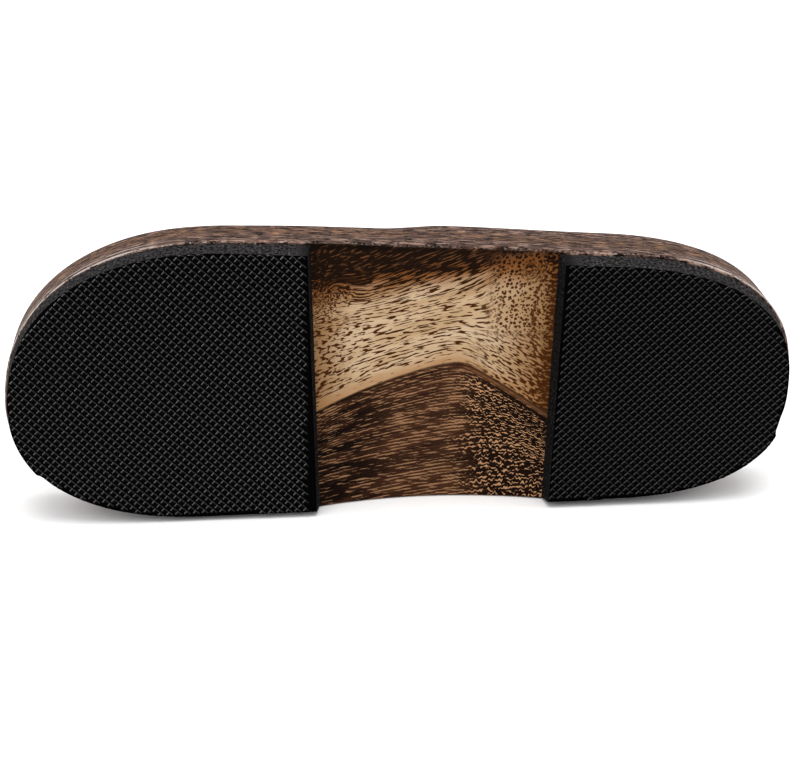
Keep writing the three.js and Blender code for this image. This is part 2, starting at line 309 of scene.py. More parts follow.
# %% Section of the wood along the sole
PAD_THICKNESS = 8.0
BOND_GAP = 0.3
SPRING_LENGTH = 42.0
SPRING_LIFT = 3.0
ARCH_START = 104.8
ARCH_END = 184.9
FOREFOOT_SLANT = math.tan(math.radians(2.6))
HEEL_SLANT = math.tan(math.radians(-0.9))
ARCH_DEPTH = 3.4
ARCH_DEEPEST = 0.5
ARCH_LEAN = 0.05
LOWER_EDGE = 0.9
RIM_ROUND = 2.0
FOREFOOT_HEIGHT = 28.0
HEEL_HEIGHT = 33.2
RAMP = (127.0, 150.0)
HEEL_FALL = (200.0, 238.0)
HEEL_DROP = 2.2
FOOTBED_DISH = 1.6
DISH_FROM_TOE = 70.0
DISH_END = 270.0
DISH_FROM_HEEL = 55.0
WOOD_SHARP_DEG = 32
STATIONS = {"toe": 44, "ball": 18, "arch": 112, "back": 12, "heel": 40}
ACROSS = {"underside": 88, "wall": 14, "rim": 5, "footbed": 52}


def toe_spring(x):
    """Lift towards the toe: a parabola over the last stretch of the sole."""
    share = np.clip(SPRING_LENGTH - np.asarray(x, float), 0, None) / SPRING_LENGTH
    return SPRING_LIFT * share ** 2


def footbed_edge(x):
    """Height of the footbed's rim: forefoot, a smooth ramp to the heel, a fall behind it, the spring."""
    level = FOREFOOT_HEIGHT + (HEEL_HEIGHT - FOREFOOT_HEIGHT) * smooth_step(*RAMP, x)
    return level - HEEL_DROP * smooth_step(*HEEL_FALL, x) + toe_spring(x)


def underside(x, y):
    """Height of the wood's underside: flat over the pads, a parabola between them, deeper inwards."""
    start = ARCH_START + FOREFOOT_SLANT * y
    end = ARCH_END + HEEL_SLANT * y
    share = np.clip((x - start) / (end - start), 0, 1)
    span = np.where(share < ARCH_DEEPEST, ARCH_DEEPEST, 1 - ARCH_DEEPEST)
    scoop = (ARCH_DEPTH + ARCH_LEAN * y) * (1 - ((share - ARCH_DEEPEST) / span) ** 2)
    return PAD_THICKNESS + BOND_GAP + toe_spring(x) + scoop


def wood_side(level, side):
    """One side of an outline from toe tip to heel tip, with stations on the arch's two ends."""
    marks = [
        (TOE_REACH[side], 0),
        (meet_line("foot", side, ARCH_START, FOREFOOT_SLANT), STATIONS["ball"]),
        (meet_line("foot", side, ARCH_END, HEEL_SLANT), STATIONS["arch"]),
        (HEEL_ROUND_START, STATIONS["back"]),
    ]
    toe = quarter_round(level, side, "toe", STATIONS["toe"])
    heel = quarter_round(level, side, "heel", STATIONS["heel"])[::-1]
    return np.concatenate([toe, side_points(level, side, marks), heel[1:]])


def inward(outer, inner):
    """Unit vectors into the sole at each station of both sides, square to the outline there."""
    ring = np.concatenate([outer, inner[-2:0:-1]])
    along = np.roll(ring, -1, axis=0) - np.roll(ring, 1, axis=0)
    along = along / np.linalg.norm(along, axis=1, keepdims=True)
    normal = np.stack([-along[:, 1], along[:, 0]], axis=1)
    count = len(outer)
    inner_normal = np.concatenate([normal[:1], normal[:count - 2:-1]])
    return normal[:count], inner_normal


def raised(plan, height):
    """Plan points with a height added as the third coordinate."""
    return np.concatenate([plan, np.asarray(height, float)[..., None]], axis=-1)


def wood_wall(plan, foot_plan, normal):
    """Columns from the underside's edge up one wall and over the rounded rim."""
    low = underside(foot_plan[:, 0], foot_plan[:, 1]) + LOWER_EDGE
    high = footbed_edge(plan[:, 0]) - RIM_ROUND
    share = np.linspace(0, 1, ACROSS["wall"] + 1)
    wall_height = low[:, None] + (high - low)[:, None] * share
    wall = raised(np.repeat(plan[:, None], len(share), axis=1), wall_height)
    angle = np.linspace(0, np.pi / 2, ACROSS["rim"] + 1)[1:]
    rim_plan = plan[:, None] + normal[:, None] * (RIM_ROUND * (1 - np.cos(angle)))[:, None]
    rim = raised(rim_plan, high[:, None] + RIM_ROUND * np.sin(angle))
    return np.concatenate([wall, rim], axis=1)


def wood_surface():
    """The whole skin as stations by columns: underside, inner wall, footbed, outer wall."""
    outer, inner = wood_side("wall", "outer"), wood_side("wall", "inner")
    foot_outer, foot_inner = wood_side("foot", "outer"), wood_side("foot", "inner")
    outer_normal, inner_normal = inward(outer, inner)
    share = np.linspace(0, 1, ACROSS["underside"] + 1)[:, None]
    sole = foot_outer[:, None] * (1 - share) + foot_inner[:, None] * share
    sole = raised(sole, underside(sole[..., 0], sole[..., 1]))
    inner_wall = wood_wall(inner, foot_inner, inner_normal)
    outer_wall = wood_wall(outer, foot_outer, outer_normal)
    share = np.linspace(0, 1, ACROSS["footbed"] + 1)[1:-1, None]
    bed = inner_wall[:, -1:, :2] * (1 - share) + outer_wall[:, -1:, :2] * share
    towards_middle = 1 - (2 * share[:, 0] - 1) ** 2
    from_toe = 1 - (1 - np.clip(bed[..., 0] / DISH_FROM_TOE, 0, 1)) ** 2
    from_heel = 1 - (1 - np.clip((DISH_END - bed[..., 0]) / DISH_FROM_HEEL, 0, 1)) ** 2
    dish = FOOTBED_DISH * towards_middle * from_toe * from_heel
    bed = raised(bed, footbed_edge(bed[..., 0]) - dish)
    return np.concatenate([sole, inner_wall, bed, outer_wall[:, ::-1]], axis=1)


wood_points = wood_surface()
wood_faces = grid_faces(*wood_points.shape[:2], wrap=True)
wood_points = wood_points.reshape(-1, 3)
wood_faces = outward(wood_points, wood_faces)
wood_base = new_piece("wood_base_finish", wood_points, wood_faces, WOOD_SHARP_DEG)
print("wood spans, mm:", np.ptp(wood_points, axis=0).round(1))

# %% [markdown]
# ## The strap's path
# The strap is one padded tube: it comes out of the wood beside the heel end of the arch, runs
# over the instep, bends round under the toe loop and goes back on the other side. The rows below
# are where one arm passes. A cubic through neighbouring rows (Catmull-Rom) joins them smoothly.
# Lying on its side, the soft strap drops until it meets the plane that the inner wall lies on.

# %% Rows of one arm
ARM_ROWS = np.array([
    # x, y, rise over the footbed, width, thickness, lean from flat in degrees
    (56.0, 0.0, 20.0, 9.5, 9.0, 0.0),
    (58.6, 5.6, 21.0, 11.5, 9.6, 8.0),
    (68.0, 10.0, 25.5, 16.0, 11.0, 16.0),
    (84.0, 16.5, 32.0, 19.0, 12.4, 28.0),
    (104.0, 25.0, 37.0, 20.0, 13.0, 44.0),
    (126.0, 32.0, 34.5, 20.0, 13.0, 62.0),
    (146.0, 35.5, 25.5, 18.5, 12.4, 76.0),
    (161.0, 34.5, 13.0, 15.0, 11.0, 82.0),
    (169.0, 32.0, 3.5, 11.0, 10.0, 86.0),
    (172.0, 31.0, -3.0, 9.6, 9.6, 88.0),
    (173.0, 31.0, -9.0, 9.2, 9.2, 90.0),
])
STRAP_STEPS = 14
STRAP_RING = 40
STRAP_FULLNESS = 2.3
SAG_LIMIT = 14.0
SAG_HALVINGS = 30


def through_rows(rows, steps):
    """A cubic through every row whose slope there is half the step from the row before to the next."""
    padded = np.concatenate([2 * rows[:1] - rows[1:2], rows, 2 * rows[-1:] - rows[-2:-1]])
    slope = (padded[2:] - padded[:-2]) / 2
    share = np.linspace(0, 1, steps, endpoint=False)[None, :, None]
    start, end = rows[:-1, None], rows[1:, None]
    out, back = slope[:-1, None], slope[1:, None]
    curve = (start * (1 + 2 * share) * (1 - share) ** 2 + out * share * (1 - share) ** 2
             + end * share ** 2 * (3 - 2 * share) + back * share ** 2 * (share - 1))
    return np.concatenate([curve.reshape(-1, rows.shape[1]), rows[-1:]])


def strap_path(sag, steps):
    """Centre, width, thickness and lean along both arms; the drop grows with the rise."""
    other_arm = ARM_ROWS[:0:-1] * np.array([1, -1, 1, 1, 1, -1])
    rows = np.concatenate([other_arm, ARM_ROWS])
    rise = rows[:, 2].copy()
    rows[:, 1] += sag * np.clip(rise, 0, None) / ARM_ROWS[:, 2].max()
    rows[:, 2] = footbed_edge(rows[:, 0]) + rise
    return through_rows(rows, steps)


def strap_rings(sag, steps, ring, grow=0.0):
    """An oval carried along the path, its flat side leaning by the row's lean."""
    path = strap_path(sag, steps)
    centre, width, thick, lean = path[:, :3], path[:, 3], path[:, 4], np.radians(path[:, 5])
    along = np.gradient(centre, axis=0)
    along = along / np.linalg.norm(along, axis=1, keepdims=True)
    out = np.stack([np.zeros_like(lean), np.sin(lean), np.cos(lean)], axis=1)
    across = np.cross(out, along)
    across = across / np.linalg.norm(across, axis=1, keepdims=True)
    out = np.cross(along, across)
    angle = np.linspace(0, 2 * np.pi, ring, endpoint=False)
    norm = np.abs(np.cos(angle)) ** STRAP_FULLNESS + np.abs(np.sin(angle)) ** STRAP_FULLNESS
    reach = norm ** (-1 / STRAP_FULLNESS)
    sideways = (np.cos(angle) * reach)[None, :, None] * (width / 2 + grow)[:, None, None]
    outwards = (np.sin(angle) * reach)[None, :, None] * (thick / 2 + grow)[:, None, None]
    return centre[:, None] + across[:, None] * sideways + out[:, None] * outwards


def resting_sag():
    """Halves the range of the sag until the strap just meets the inner wall's plane."""
    low, high = 0.0, SAG_LIMIT
    for _ in range(SAG_HALVINGS):
        middle = (low + high) / 2
        rings = strap_rings(middle, STRAP_STEPS, STRAP_RING)
        over = rings[..., 1] - side_at("wall", "inner", rings[..., 0])
        low, high = (low, middle) if over.max() > 0 else (middle, high)
    return low


SAG = resting_sag()
print("the strap drops by", round(SAG, 2), "mm at its highest")

# %% [markdown]
# ## Sockets in the wood
# The strap's two ends and the toe loop's post sit in blind holes. A hole in the middle of a grid
# is easiest as a boolean: a slightly larger copy of what goes in is taken away from the wood.

# %% Cut the sockets
FIT_GAP = 0.35
LOOP_X = ARM_ROWS[0, 0]
POST_HALF = (3.8, 4.6)
POST_BEND_HEIGHT = 13.0
SOCKET_DEPTH = 9.0
SOCKET_OVER = 3.0
SOCKET_RING = 32
SOCKET_LEVELS = 6
LOOP_FLOOR = float(footbed_edge(LOOP_X))
LOOP_Y = SAG * ARM_ROWS[0, 2] / ARM_ROWS[:, 2].max()


def capped_tube(rings):
    """Points and faces of a tube whose two ends are closed by a fan round a middle point."""
    rows, columns = rings.shape[:2]
    ends = np.stack([rings[0].mean(axis=0), rings[-1].mean(axis=0)])
    points = np.concatenate([rings.reshape(-1, 3), ends])
    walls = grid_faces(rows, columns, wrap=True)
    here = np.arange(columns)
    beside = (here + 1) % columns
    first = np.full(columns, rows * columns)
    start = np.stack([here, beside, first, first], axis=1)
    base = (rows - 1) * columns
    end = np.stack([base + beside, base + here, first + 1, first + 1], axis=1)
    faces = np.concatenate([walls, start, end])
    return points, outward(points, faces)


def post_rings(grow, heights, columns):
    """Ovals up the toe loop's post; above the footbed it bends with the sagging strap."""
    angle = np.linspace(0, 2 * np.pi, columns, endpoint=False)
    heights = np.asarray(heights, float)
    bend_end = LOOP_FLOOR + POST_BEND_HEIGHT
    bend = LOOP_Y * smooth_step(LOOP_FLOOR - FOOTBED_DISH, bend_end, heights)
    x = LOOP_X + (POST_HALF[0] + grow) * np.cos(angle)[None] + np.zeros_like(heights)[:, None]
    y = bend[:, None] + (POST_HALF[1] + grow) * np.sin(angle)[None]
    return np.stack([x, y, np.broadcast_to(heights[:, None], x.shape)], axis=-1)


def cut_away(piece, rings):
    """Takes a closed tube out of the piece with an exact boolean and keeps the result as its mesh."""
    cutter = linked("cutter", *capped_tube(rings))
    mesh = cutter.data
    boolean = piece.modifiers.new("socket", "BOOLEAN")
    boolean.operation = "DIFFERENCE"
    boolean.solver = "EXACT"
    boolean.object = cutter
    graph = bpy.context.evaluated_depsgraph_get()
    cut = bpy.data.meshes.new_from_object(piece.evaluated_get(graph))
    piece.modifiers.clear()
    old = piece.data
    piece.data = cut
    bpy.data.meshes.remove(old)
    bpy.data.objects.remove(cutter)
    bpy.data.meshes.remove(mesh)


socket_rings = strap_rings(SAG, STRAP_STEPS, SOCKET_RING, FIT_GAP)
socket_rows = 3 * STRAP_STEPS
socket_levels = np.linspace(LOOP_FLOOR - SOCKET_DEPTH, LOOP_FLOOR + SOCKET_OVER, SOCKET_LEVELS)
cut_away(wood_base, socket_rings[:socket_rows])
cut_away(wood_base, socket_rings[-socket_rows:])
cut_away(wood_base, post_rings(FIT_GAP, socket_levels, SOCKET_RING))
shade(wood_base, WOOD_SHARP_DEG)
print("wood after the sockets:", len(wood_base.data.vertices), "points")

# %% [markdown]
# ## How the grain runs
# The arch shows pale sapwood above dark heartwood. Their border climbs from the left, turns at a
# crest and falls to the right, and the pores follow it. Where the grain runs level with the
# scooped face, a pore is cut lengthwise and shows as a long dash. So each point gets a grain
# coordinate that runs slowly along the grain, faster where the dashes are shorter, and a material
# needs only round pores in it. Two knots pull the rows round them. Three more numbers say how far
# a point is from the heartwood's border and from the dark band, and whether it is in the arch.

# %% Grain coordinates and zones
CREST = (153.4, -4.7)
CREST_ROUND = 4.0
RISE_LEFT = (0.25, 0.0024)
FALL_RIGHT = 0.63
SLOW_GRAIN = 0.15
FAST_GRAIN = 0.2
FAST_FADE = (128.0, 108.0)
GRAIN_SPAN = (98.0, 192.0)
DOTS_START = 165.0
ROW_LEAN = (0.17, 0.26)
LEAN_FADE = (-16.0, -42.0)
LEVEL_X = 140.0
# How far from the border the rows bend with it, and stay slow along it: above it, below it.
BEND_REACH = (20.0, 14.0)
SLOW_REACH = (9.0, 3.0)
KNOT_PULL = 0.45
KNOT_TURN = 2.6
ARCH_FADE = (-2.5, -1.5)
BED_FADE = (0.4, 0.8)
DARK_LINE = {"y": -33.6, "slope": 0.11, "x": 104.0}
KNOTS = (((112.0, -30.0), 5.0), ((177.3, -37.8), 4.6))


def heart_line(x):
    """Border of the heartwood: two slopes that meet in a rounded crest, the left one bent upwards."""
    left = np.clip(CREST[0] - x, 0, None)
    right = np.clip(x - CREST[0], 0, None)
    left_slope = np.sqrt(left ** 2 + CREST_ROUND ** 2) - CREST_ROUND
    right_slope = np.sqrt(right ** 2 + CREST_ROUND ** 2) - CREST_ROUND
    return CREST[1] + RISE_LEFT[0] * left_slope + RISE_LEFT[1] * left ** 2 + FALL_RIGHT * right_slope


def grain_speed(x):
    """How fast the grain coordinate runs: slow over the arch, faster near its forefoot end."""
    return SLOW_GRAIN + FAST_GRAIN * smooth_step(*FAST_FADE, x)


def grain_along(x):
    """The grain coordinate itself: the running sum of the speed, zero where the dots start."""
    ticks = np.linspace(-5, 275, 2801)
    outside = (ticks < GRAIN_SPAN[0]) | (ticks > GRAIN_SPAN[1])
    speed = np.where(outside, SLOW_GRAIN, grain_speed(ticks))
    total = np.cumsum(speed) * (ticks[1] - ticks[0])
    return np.interp(x, ticks, total) - np.interp(DOTS_START, ticks, total)


def grain_at(points):
    """Along and across the grain, and the pull of a knot. Rows lean, and bend with the heart line."""
    x, y, _ = points.T
    knotted = np.zeros(len(points))
    slope = ROW_LEAN[0] + ROW_LEAN[1] * smooth_step(*LEAN_FADE, y)
    line = heart_line(x)
    near = np.exp(-((y - line) / np.where(y < line, *BEND_REACH)) ** 2)
    across = y - near * (line - CREST[1]) + (1 - near) * slope * (x - LEVEL_X)
    beside = np.exp(-((y - line) / np.where(y < line, *SLOW_REACH)) ** 2)
    along = grain_along(x) * (1 - beside) + (x - DOTS_START) * SLOW_GRAIN * beside
    for (knot_x, knot_y), size in KNOTS:
        away = np.hypot(x - knot_x, y - knot_y)
        pull = KNOT_PULL * np.exp(-(away / size) ** 2)
        round_knot = np.abs(np.arctan2(y - knot_y, x - knot_x)) * KNOT_TURN
        across = across * (1 - pull) + (knot_y + away) * pull
        along = along * (1 - pull) + round_knot * pull
        knotted = np.maximum(knotted, pull)
    return np.stack([along, across, knotted], axis=1)


def zones_at(points):
    """Millimetres below the heart line, millimetres above the dark band's border, arch share."""
    x, y, z = points.T
    dark_line = DARK_LINE["y"] - DARK_LINE["slope"] * (x - DARK_LINE["x"])
    lifted = z - underside(x, y)
    under = 1 - smooth_step(0.02, 0.3 * LOWER_EDGE, lifted)
    start = ARCH_START + FOREFOOT_SLANT * y
    end = ARCH_END + HEEL_SLANT * y
    in_arch = smooth_step(*ARCH_FADE, x - start) * smooth_step(*ARCH_FADE, end - x)
    return np.stack([y - heart_line(x), dark_line - y, under * in_arch], axis=1)


def way_round(x):
    """Millimetres walked round the outer outline from the toe tip, for a place at x."""
    outline = wood_side("wall", "outer")
    steps = np.linalg.norm(np.diff(outline, axis=0), axis=1)
    return np.interp(x, outline[:, 0], np.concatenate([[0], np.cumsum(steps)]))


def edge_at(points, upward):
    """Millimetres round the outline, millimetres up the wall, share of the footbed."""
    x, y, z = points.T
    return np.stack([way_round(x), z - underside(x, y), smooth_step(*BED_FADE, upward)], axis=1)


wood_measured = corners_of(wood_base)
give_attribute(wood_base, "grain", grain_at(wood_measured))
give_attribute(wood_base, "zones", zones_at(wood_measured))
give_attribute(wood_base, "edge", edge_at(wood_measured, upward_share(wood_base)))
give_attribute(wood_base, "sole", wood_measured)
print("heart line at the arch's ends, mm:", heart_line(np.array([103.0, 186.0])).round(1))

# %% [markdown]
# ## Short words for shader nodes
# A finish is a graph of nodes. The small class below adds a node and links it in one line, so
# that a finish reads as a list of what is mixed with what. Shares run from 0 to 1: `both` multiplies
# them, `most` takes the larger, `other` is what is left, `blend` goes from one value to another, and
# `layers` lays tones over a colour one after the other, each by a share and a strength.

# %% Shader helpers
LIGHT_SHARE = 0.72


def tint(red, green, blue):
    """A colour as seen on a screen, 0 to 255, as linear numbers, taken down for the strong light."""
    part = np.array([red, green, blue]) / 255
    linear = np.where(part <= 0.04045, part / 12.92, ((part + 0.055) / 1.055) ** 2.4)
    return (*(linear * LIGHT_SHARE).tolist(), 1.0)


class Graph:
    """A node tree and short ways to add to it. Values may be numbers or other nodes' outputs."""

    def __init__(self, tree):
        self.tree = tree
        self.tree.nodes.clear()

    def add(self, kind, values, **settings):
        node = self.tree.nodes.new(kind)
        for name, setting in settings.items():
            setattr(node, name, setting)
        for key, value in values.items():
            if isinstance(value, bpy.types.NodeSocket):
                self.tree.links.new(value, node.inputs[key])
            else:
                node.inputs[key].default_value = value
        return node

    def math(self, operation, *values):
        node = self.add("ShaderNodeMath", dict(enumerate(values)), operation=operation)
        return node.outputs[0]

    def times(self, vector, factors):
        node = self.add("ShaderNodeVectorMath", {0: vector, 1: factors}, operation="MULTIPLY")
        return node.outputs[0]

    def plus(self, vector, other):
        node = self.add("ShaderNodeVectorMath", {0: vector, 1: other}, operation="ADD")
        return node.outputs[0]

    def fade(self, value, start, end):
        values = {"Value": value, "From Min": start, "From Max": end}
        return self.add("ShaderNodeMapRange", values, interpolation_type="SMOOTHSTEP").outputs[0]

    def mix(self, share, low, high):
        values = {0: share, 6: low, 7: high}
        return self.add("ShaderNodeMix", values, data_type="RGBA").outputs[2]

    def layers(self, colour, *coats):
        for share, strength, tone in coats:
            colour = self.mix(self.both(share, strength), colour, tint(*tone))
        return colour

    def noise(self, vector, scale, detail=3.0, rough=0.5, flat=False):
        values = {"Vector": vector, "Scale": scale, "Detail": detail, "Roughness": rough}
        kind = "2D" if flat else "3D"
        return self.add("ShaderNodeTexNoise", values, noise_dimensions=kind).outputs["Fac"]

    def pair(self, first, second):
        return self.add("ShaderNodeCombineXYZ", {0: first, 1: second}).outputs[0]

    def most(self, first, second):
        return self.math("MAXIMUM", first, second)

    def other(self, share):
        return self.math("SUBTRACT", 1.0, share)

    def blend(self, share, low, high):
        return self.total(self.both(low, self.other(share)), self.both(high, share))

    def both(self, *masks):
        product = masks[0]
        for mask in masks[1:]:
            product = self.math("MULTIPLY", product, mask)
        return product

    def total(self, *parts):
        result = parts[0]
        for part in parts[1:]:
            result = self.math("ADD", result, part)
        return result

    def ramp(self, value, *stops):
        node = self.add("ShaderNodeValToRGB", {0: value})
        spots = node.color_ramp.elements
        while len(spots) < len(stops):
            spots.new(0.5)
        for spot, (position, colour) in zip(spots, stops):
            spot.position = position
            spot.color = colour
        return node.outputs[0]

    def split(self, vector):
        return self.add("ShaderNodeSeparateXYZ", {0: vector}).outputs

    def attribute(self, name):
        return self.add("ShaderNodeAttribute", {}, attribute_name=name).outputs["Vector"]

    def bump(self, height, strength, depth_mm):
        values = {"Height": height, "Strength": strength, "Distance": depth_mm / 1000}
        return self.add("ShaderNodeBump", values).outputs[0]


def new_finish(name):
    """An empty material and its graph."""
    material = bpy.data.materials.new(name)
    material.use_nodes = True
    return material, Graph(material.node_tree)


def close_finish(graph, **sockets):
    """Ends a graph in one principled shader; names use _ for a space."""
    values = {name.replace("_", " "): value for name, value in sockets.items()}
    shader = graph.add("ShaderNodeBsdfPrincipled", values)
    graph.add("ShaderNodeOutputMaterial", {"Surface": shader.outputs[0]})


def new_group(name, inputs, outputs):
    """A node group with named sockets, its graph, its inputs and the node that takes its outputs."""
    group = bpy.data.node_groups.new(name, "ShaderNodeTree")
    for label, kind in inputs.items():
        group.interface.new_socket(label, in_out="INPUT", socket_type=kind)
    for label, kind in outputs.items():
        group.interface.new_socket(label, in_out="OUTPUT", socket_type=kind)
    graph = Graph(group)
    entry = group.nodes.new("NodeGroupInput")
    return group, graph, entry.outputs, group.nodes.new("NodeGroupOutput")


print("shader helpers ready")

# %% [markdown]
# ## Effects that several finishes share
# Cut pores in wood and specks in rubber are the same thing: small spots scattered at random. Round
# spots come from the distance to the nearest of many random points. The group takes any coordinate,
# wavers it a little and leaves some cells empty, which keeps the spots irregular.

# %% Spot group
VALUE = "NodeSocketFloat"
VECTOR = "NodeSocketVector"
SPOT_SMALLEST = 0.6
SPOT_VARIES = 0.7
SPOT_CORE = 0.6

spots_group, spots, spots_in, spots_out = new_group(
    "scattered_spots",
    {"Place": VECTOR, "Scale": VALUE, "Size": VALUE, "Empty": VALUE, "Waver": VALUE, "Loose": VALUE},
    {"Mask": VALUE},
)
waver = spots.add("ShaderNodeTexNoise", {"Vector": spots_in["Place"], "Scale": 0.9, "Detail": 2.0})
waver_off = spots.plus(waver.outputs["Color"], (-0.5, -0.5, -0.5))
waver_scaled = spots.add("ShaderNodeVectorMath", {0: waver_off, 3: spots_in["Waver"]}, operation="SCALE")
spot_place = spots.plus(spots_in["Place"], waver_scaled.outputs[0])
spot_cell = spots.add(
    "ShaderNodeTexVoronoi",
    {"Vector": spot_place, "Scale": spots_in["Scale"], "Randomness": spots_in["Loose"]},
    voronoi_dimensions="2D",
)
spot_chance, spot_draw, _ = spots.split(spot_cell.outputs["Color"])
spot_varied = spots.total(SPOT_SMALLEST, spots.both(spot_draw, SPOT_VARIES))
spot_size = spots.both(spots_in["Size"], spot_varied)
spot_inner = spots.both(spot_size, SPOT_CORE)
spot_mask = spots.add(
    "ShaderNodeMapRange",
    {"Value": spot_cell.outputs["Distance"], "From Min": spot_size, "From Max": spot_inner},
    interpolation_type="SMOOTHSTEP",
).outputs[0]
spot_kept = spots.math("GREATER_THAN", spot_chance, spots_in["Empty"])
spots.tree.links.new(spots.both(spot_mask, spot_kept), spots_out.inputs["Mask"])


def scatter(graph, where, scale, size, empty=0.2, waver=0.0, loose=1.0):
    """Places the spot group in a finish and returns its mask. Loose 0 keeps the spots in rows."""
    node = graph.add("ShaderNodeGroup", {}, node_tree=spots_group)
    graph.tree.links.new(where, node.inputs["Place"])
    values = {"Scale": scale, "Size": size, "Empty": empty, "Waver": waver, "Loose": loose}
    for label, value in values.items():
        node.inputs[label].default_value = value
    return node.outputs["Mask"]


print("spot group has", len(spots_group.nodes), "nodes")

# %% [markdown]
# ## The wood's finish
# A pore is where a noise rises over a threshold. In the grain coordinate the noise is drawn out
# along the grain, so the pores come out as pointed dashes. A lower threshold makes them denser,
# until they merge into the dark band at the outer edge. Where the grain dives into the face, round
# spots from the shared group take over. A share for each zone says which of these holds where, and
# a slow drift moves the zones' edges, so that none looks ruled.

# %% Places in the wood
KNOT_SWAY = (1.0, 3.6, 0.0)
wood_finish, wood = new_finish("oiled_wood")
heart_mm, band_mm, arch_share = wood.split(wood.attribute("zones"))
round_wall, up_wall, bed_share = wood.split(wood.attribute("edge"))
sole = wood.attribute("sole")
sole_x, sole_y, _ = wood.split(sole)
straight_grain = wood.attribute("grain")
knotted = wood.split(straight_grain)[2]
sway_noise = wood.add("ShaderNodeTexNoise", {"Vector": sole, "Scale": 0.4, "Detail": 1.0})
knot_sway = wood.times(wood.plus(sway_noise.outputs["Color"], (-0.5, -0.5, -0.5)), KNOT_SWAY)
grain = wood.plus(straight_grain, wood.times(knot_sway, wood.fade(knotted, 0.01, 0.3)))
drift = wood.noise(grain, 0.16, 4.0, 0.6, flat=True)
drift_mm = wood.total(drift, -0.5)
heart_depth = wood.total(heart_mm, drift_mm)


def swayed(value, millimetres):
    """A value moved by the slow drift times some millimetres."""
    return wood.total(value, wood.both(drift_mm, millimetres))


print("the wood reads its grain, zones, edge and place on the sole")

# %% Zones of the wood
# For each zone, the millimetres along the sole between which its share grows from 0 to 1.
ALONG = {
    "dots": (160.0, 169.0), "slope": (155.0, 166.0), "corner": (166.0, 184.0),
    "forefoot end": (119.0, 107.0), "before crest": (160.0, 150.0), "behind crest": (153.0, 161.0),
    "gold forefoot": (121.0, 104.0), "gold heel": (159.0, 182.0),
    "light begins": (116.0, 138.0), "light ends": (168.0, 156.0),
    "toe": (62.0, 40.0), "heel": (222.0, 240.0),
}
# The same for millimetres below the heartwood's border, which are negative above it.
BELOW = {
    "clear": (-4.5, -2.0), "beside begins": (-12.0, -6.0), "beside ends": (2.0, -1.0),
    "warm": (-6.0, -1.0), "flame": (1.5, 5.0), "brown": (2.6, 1.4), "heart": (-0.25, 0.35),
    "line begins": (-0.6, 0.1), "line ends": (0.9, 0.2),
}


def along(zone):
    """Share of a zone at a place along the sole."""
    return wood.fade(sole_x, *ALONG[zone])


def below(zone):
    """Share of a zone at a depth below the heartwood's border."""
    return wood.fade(heart_depth, *BELOW[zone])


band_depth = swayed(band_mm, 9.0)
dark_band = wood.fade(band_depth, -4.0, 4.0)
dot_end = along("dots")
upper_right = wood.both(wood.fade(swayed(sole_y, 5.0), -38.5, -43.0), dot_end)
burnt = wood.most(wood.fade(band_depth, -12.0, 1.0), upper_right)
corner = wood.both(along("corner"), wood.fade(sole_y, -20.0, 2.0))
clear = wood.both(below("clear"), along("before crest"))
beside_line = wood.both(below("beside begins"), below("beside ends"))
slope_zone = wood.both(wood.fade(swayed(sole_y, 8.0), -19.0, -13.0), along("slope"))
# Next to the heel pad the wood darkens. Part of this is painted shade where the pad meets the wood, and
# part is denser burnt dashes of the wood itself.
to_end = wood.total(ARCH_END, wood.both(sole_y, HEEL_SLANT), wood.both(sole_x, -1.0))
pad_shade_and_burn = wood.fade(swayed(to_end, 4.0), 4.6, 0.4)
print("zones along the sole:", ", ".join(ALONG))

# %% Sapwood pores
# How much each zone lowers the threshold of the pores.
DENSER = (
    (burnt, 0.075), (dark_band, 0.09), (along("forefoot end"), 0.025), (knotted, 0.05),
    (wood.both(dot_end, beside_line), 0.02), (corner, 0.07), (clear, -0.12),
)
GROWTH_LINE_X = 178.4
RING_BOW = 0.007


def pores_in(place, scale, bias, start, end):
    """Pores where a noise raised by a bias passes from start to end."""
    return wood.fade(wood.total(wood.noise(place, scale, 1.0, 0.5, flat=True), bias), start, end)


bias = wood.total(*(wood.both(zone, weight) for zone, weight in DENSER))
long_place = wood.times(wood.plus(grain, (7.3, 3.1, 0.0)), (0.45, 1.0, 1.0))
dashes = wood.most(pores_in(grain, 1.45, bias, 0.57, 0.64), pores_in(long_place, 2.1, bias, 0.61, 0.68))
bow = wood.both(wood.math("POWER", wood.total(sole_y, 20.0), 2.0), RING_BOW)
ring_at = wood.math("SUBTRACT", sole_x, bow)
dot_place = wood.pair(ring_at, sole_y)
large_dots = scatter(wood, dot_place, 0.64, 0.39, 0.05, 0.9, 0.75)
small_dots = scatter(wood, wood.plus(dot_place, (0.4, 0.7, 0.0)), 0.8, 0.31, 0.2, 0.7, 1.0)
dash_share = wood.most(beside_line, wood.fade(knotted, 0.1, 0.4))
dot_share = wood.both(dot_end, wood.other(dash_share))
pores = wood.blend(dot_share, dashes, wood.most(large_dots, small_dots))
down_slope = wood.total(sole_x, wood.both(sole_y, FALL_RIGHT))
off_slope = wood.math("SUBTRACT", sole_y, wood.both(sole_x, FALL_RIGHT))
slope_place = wood.pair(wood.both(down_slope, 0.26), off_slope)
pores = wood.blend(slope_zone, pores, pores_in(slope_place, 1.25, wood.both(corner, 0.09), 0.52, 0.6))
growth_sway = wood.total(wood.noise(sole, 0.28, 2.0, 0.6, flat=True), -0.5)
growth_at = wood.total(swayed(ring_at, 2.5), wood.both(growth_sway, 4.0), -GROWTH_LINE_X)
growth_broken = wood.fade(wood.noise(sole, 0.9, 1.0, 0.5, flat=True), 0.36, 0.5)
growth_line = wood.both(wood.fade(wood.math("ABSOLUTE", growth_at), 0.65, 0.35), growth_broken, 0.9)
end_place = wood.times(sole, (0.55, 1.3, 1.0))
end_dashes = pores_in(end_place, 0.9, wood.both(pad_shade_and_burn, 0.12), 0.56, 0.63)
end_dashes = wood.both(end_dashes, wood.fade(pad_shade_and_burn, 0.0, 0.35))
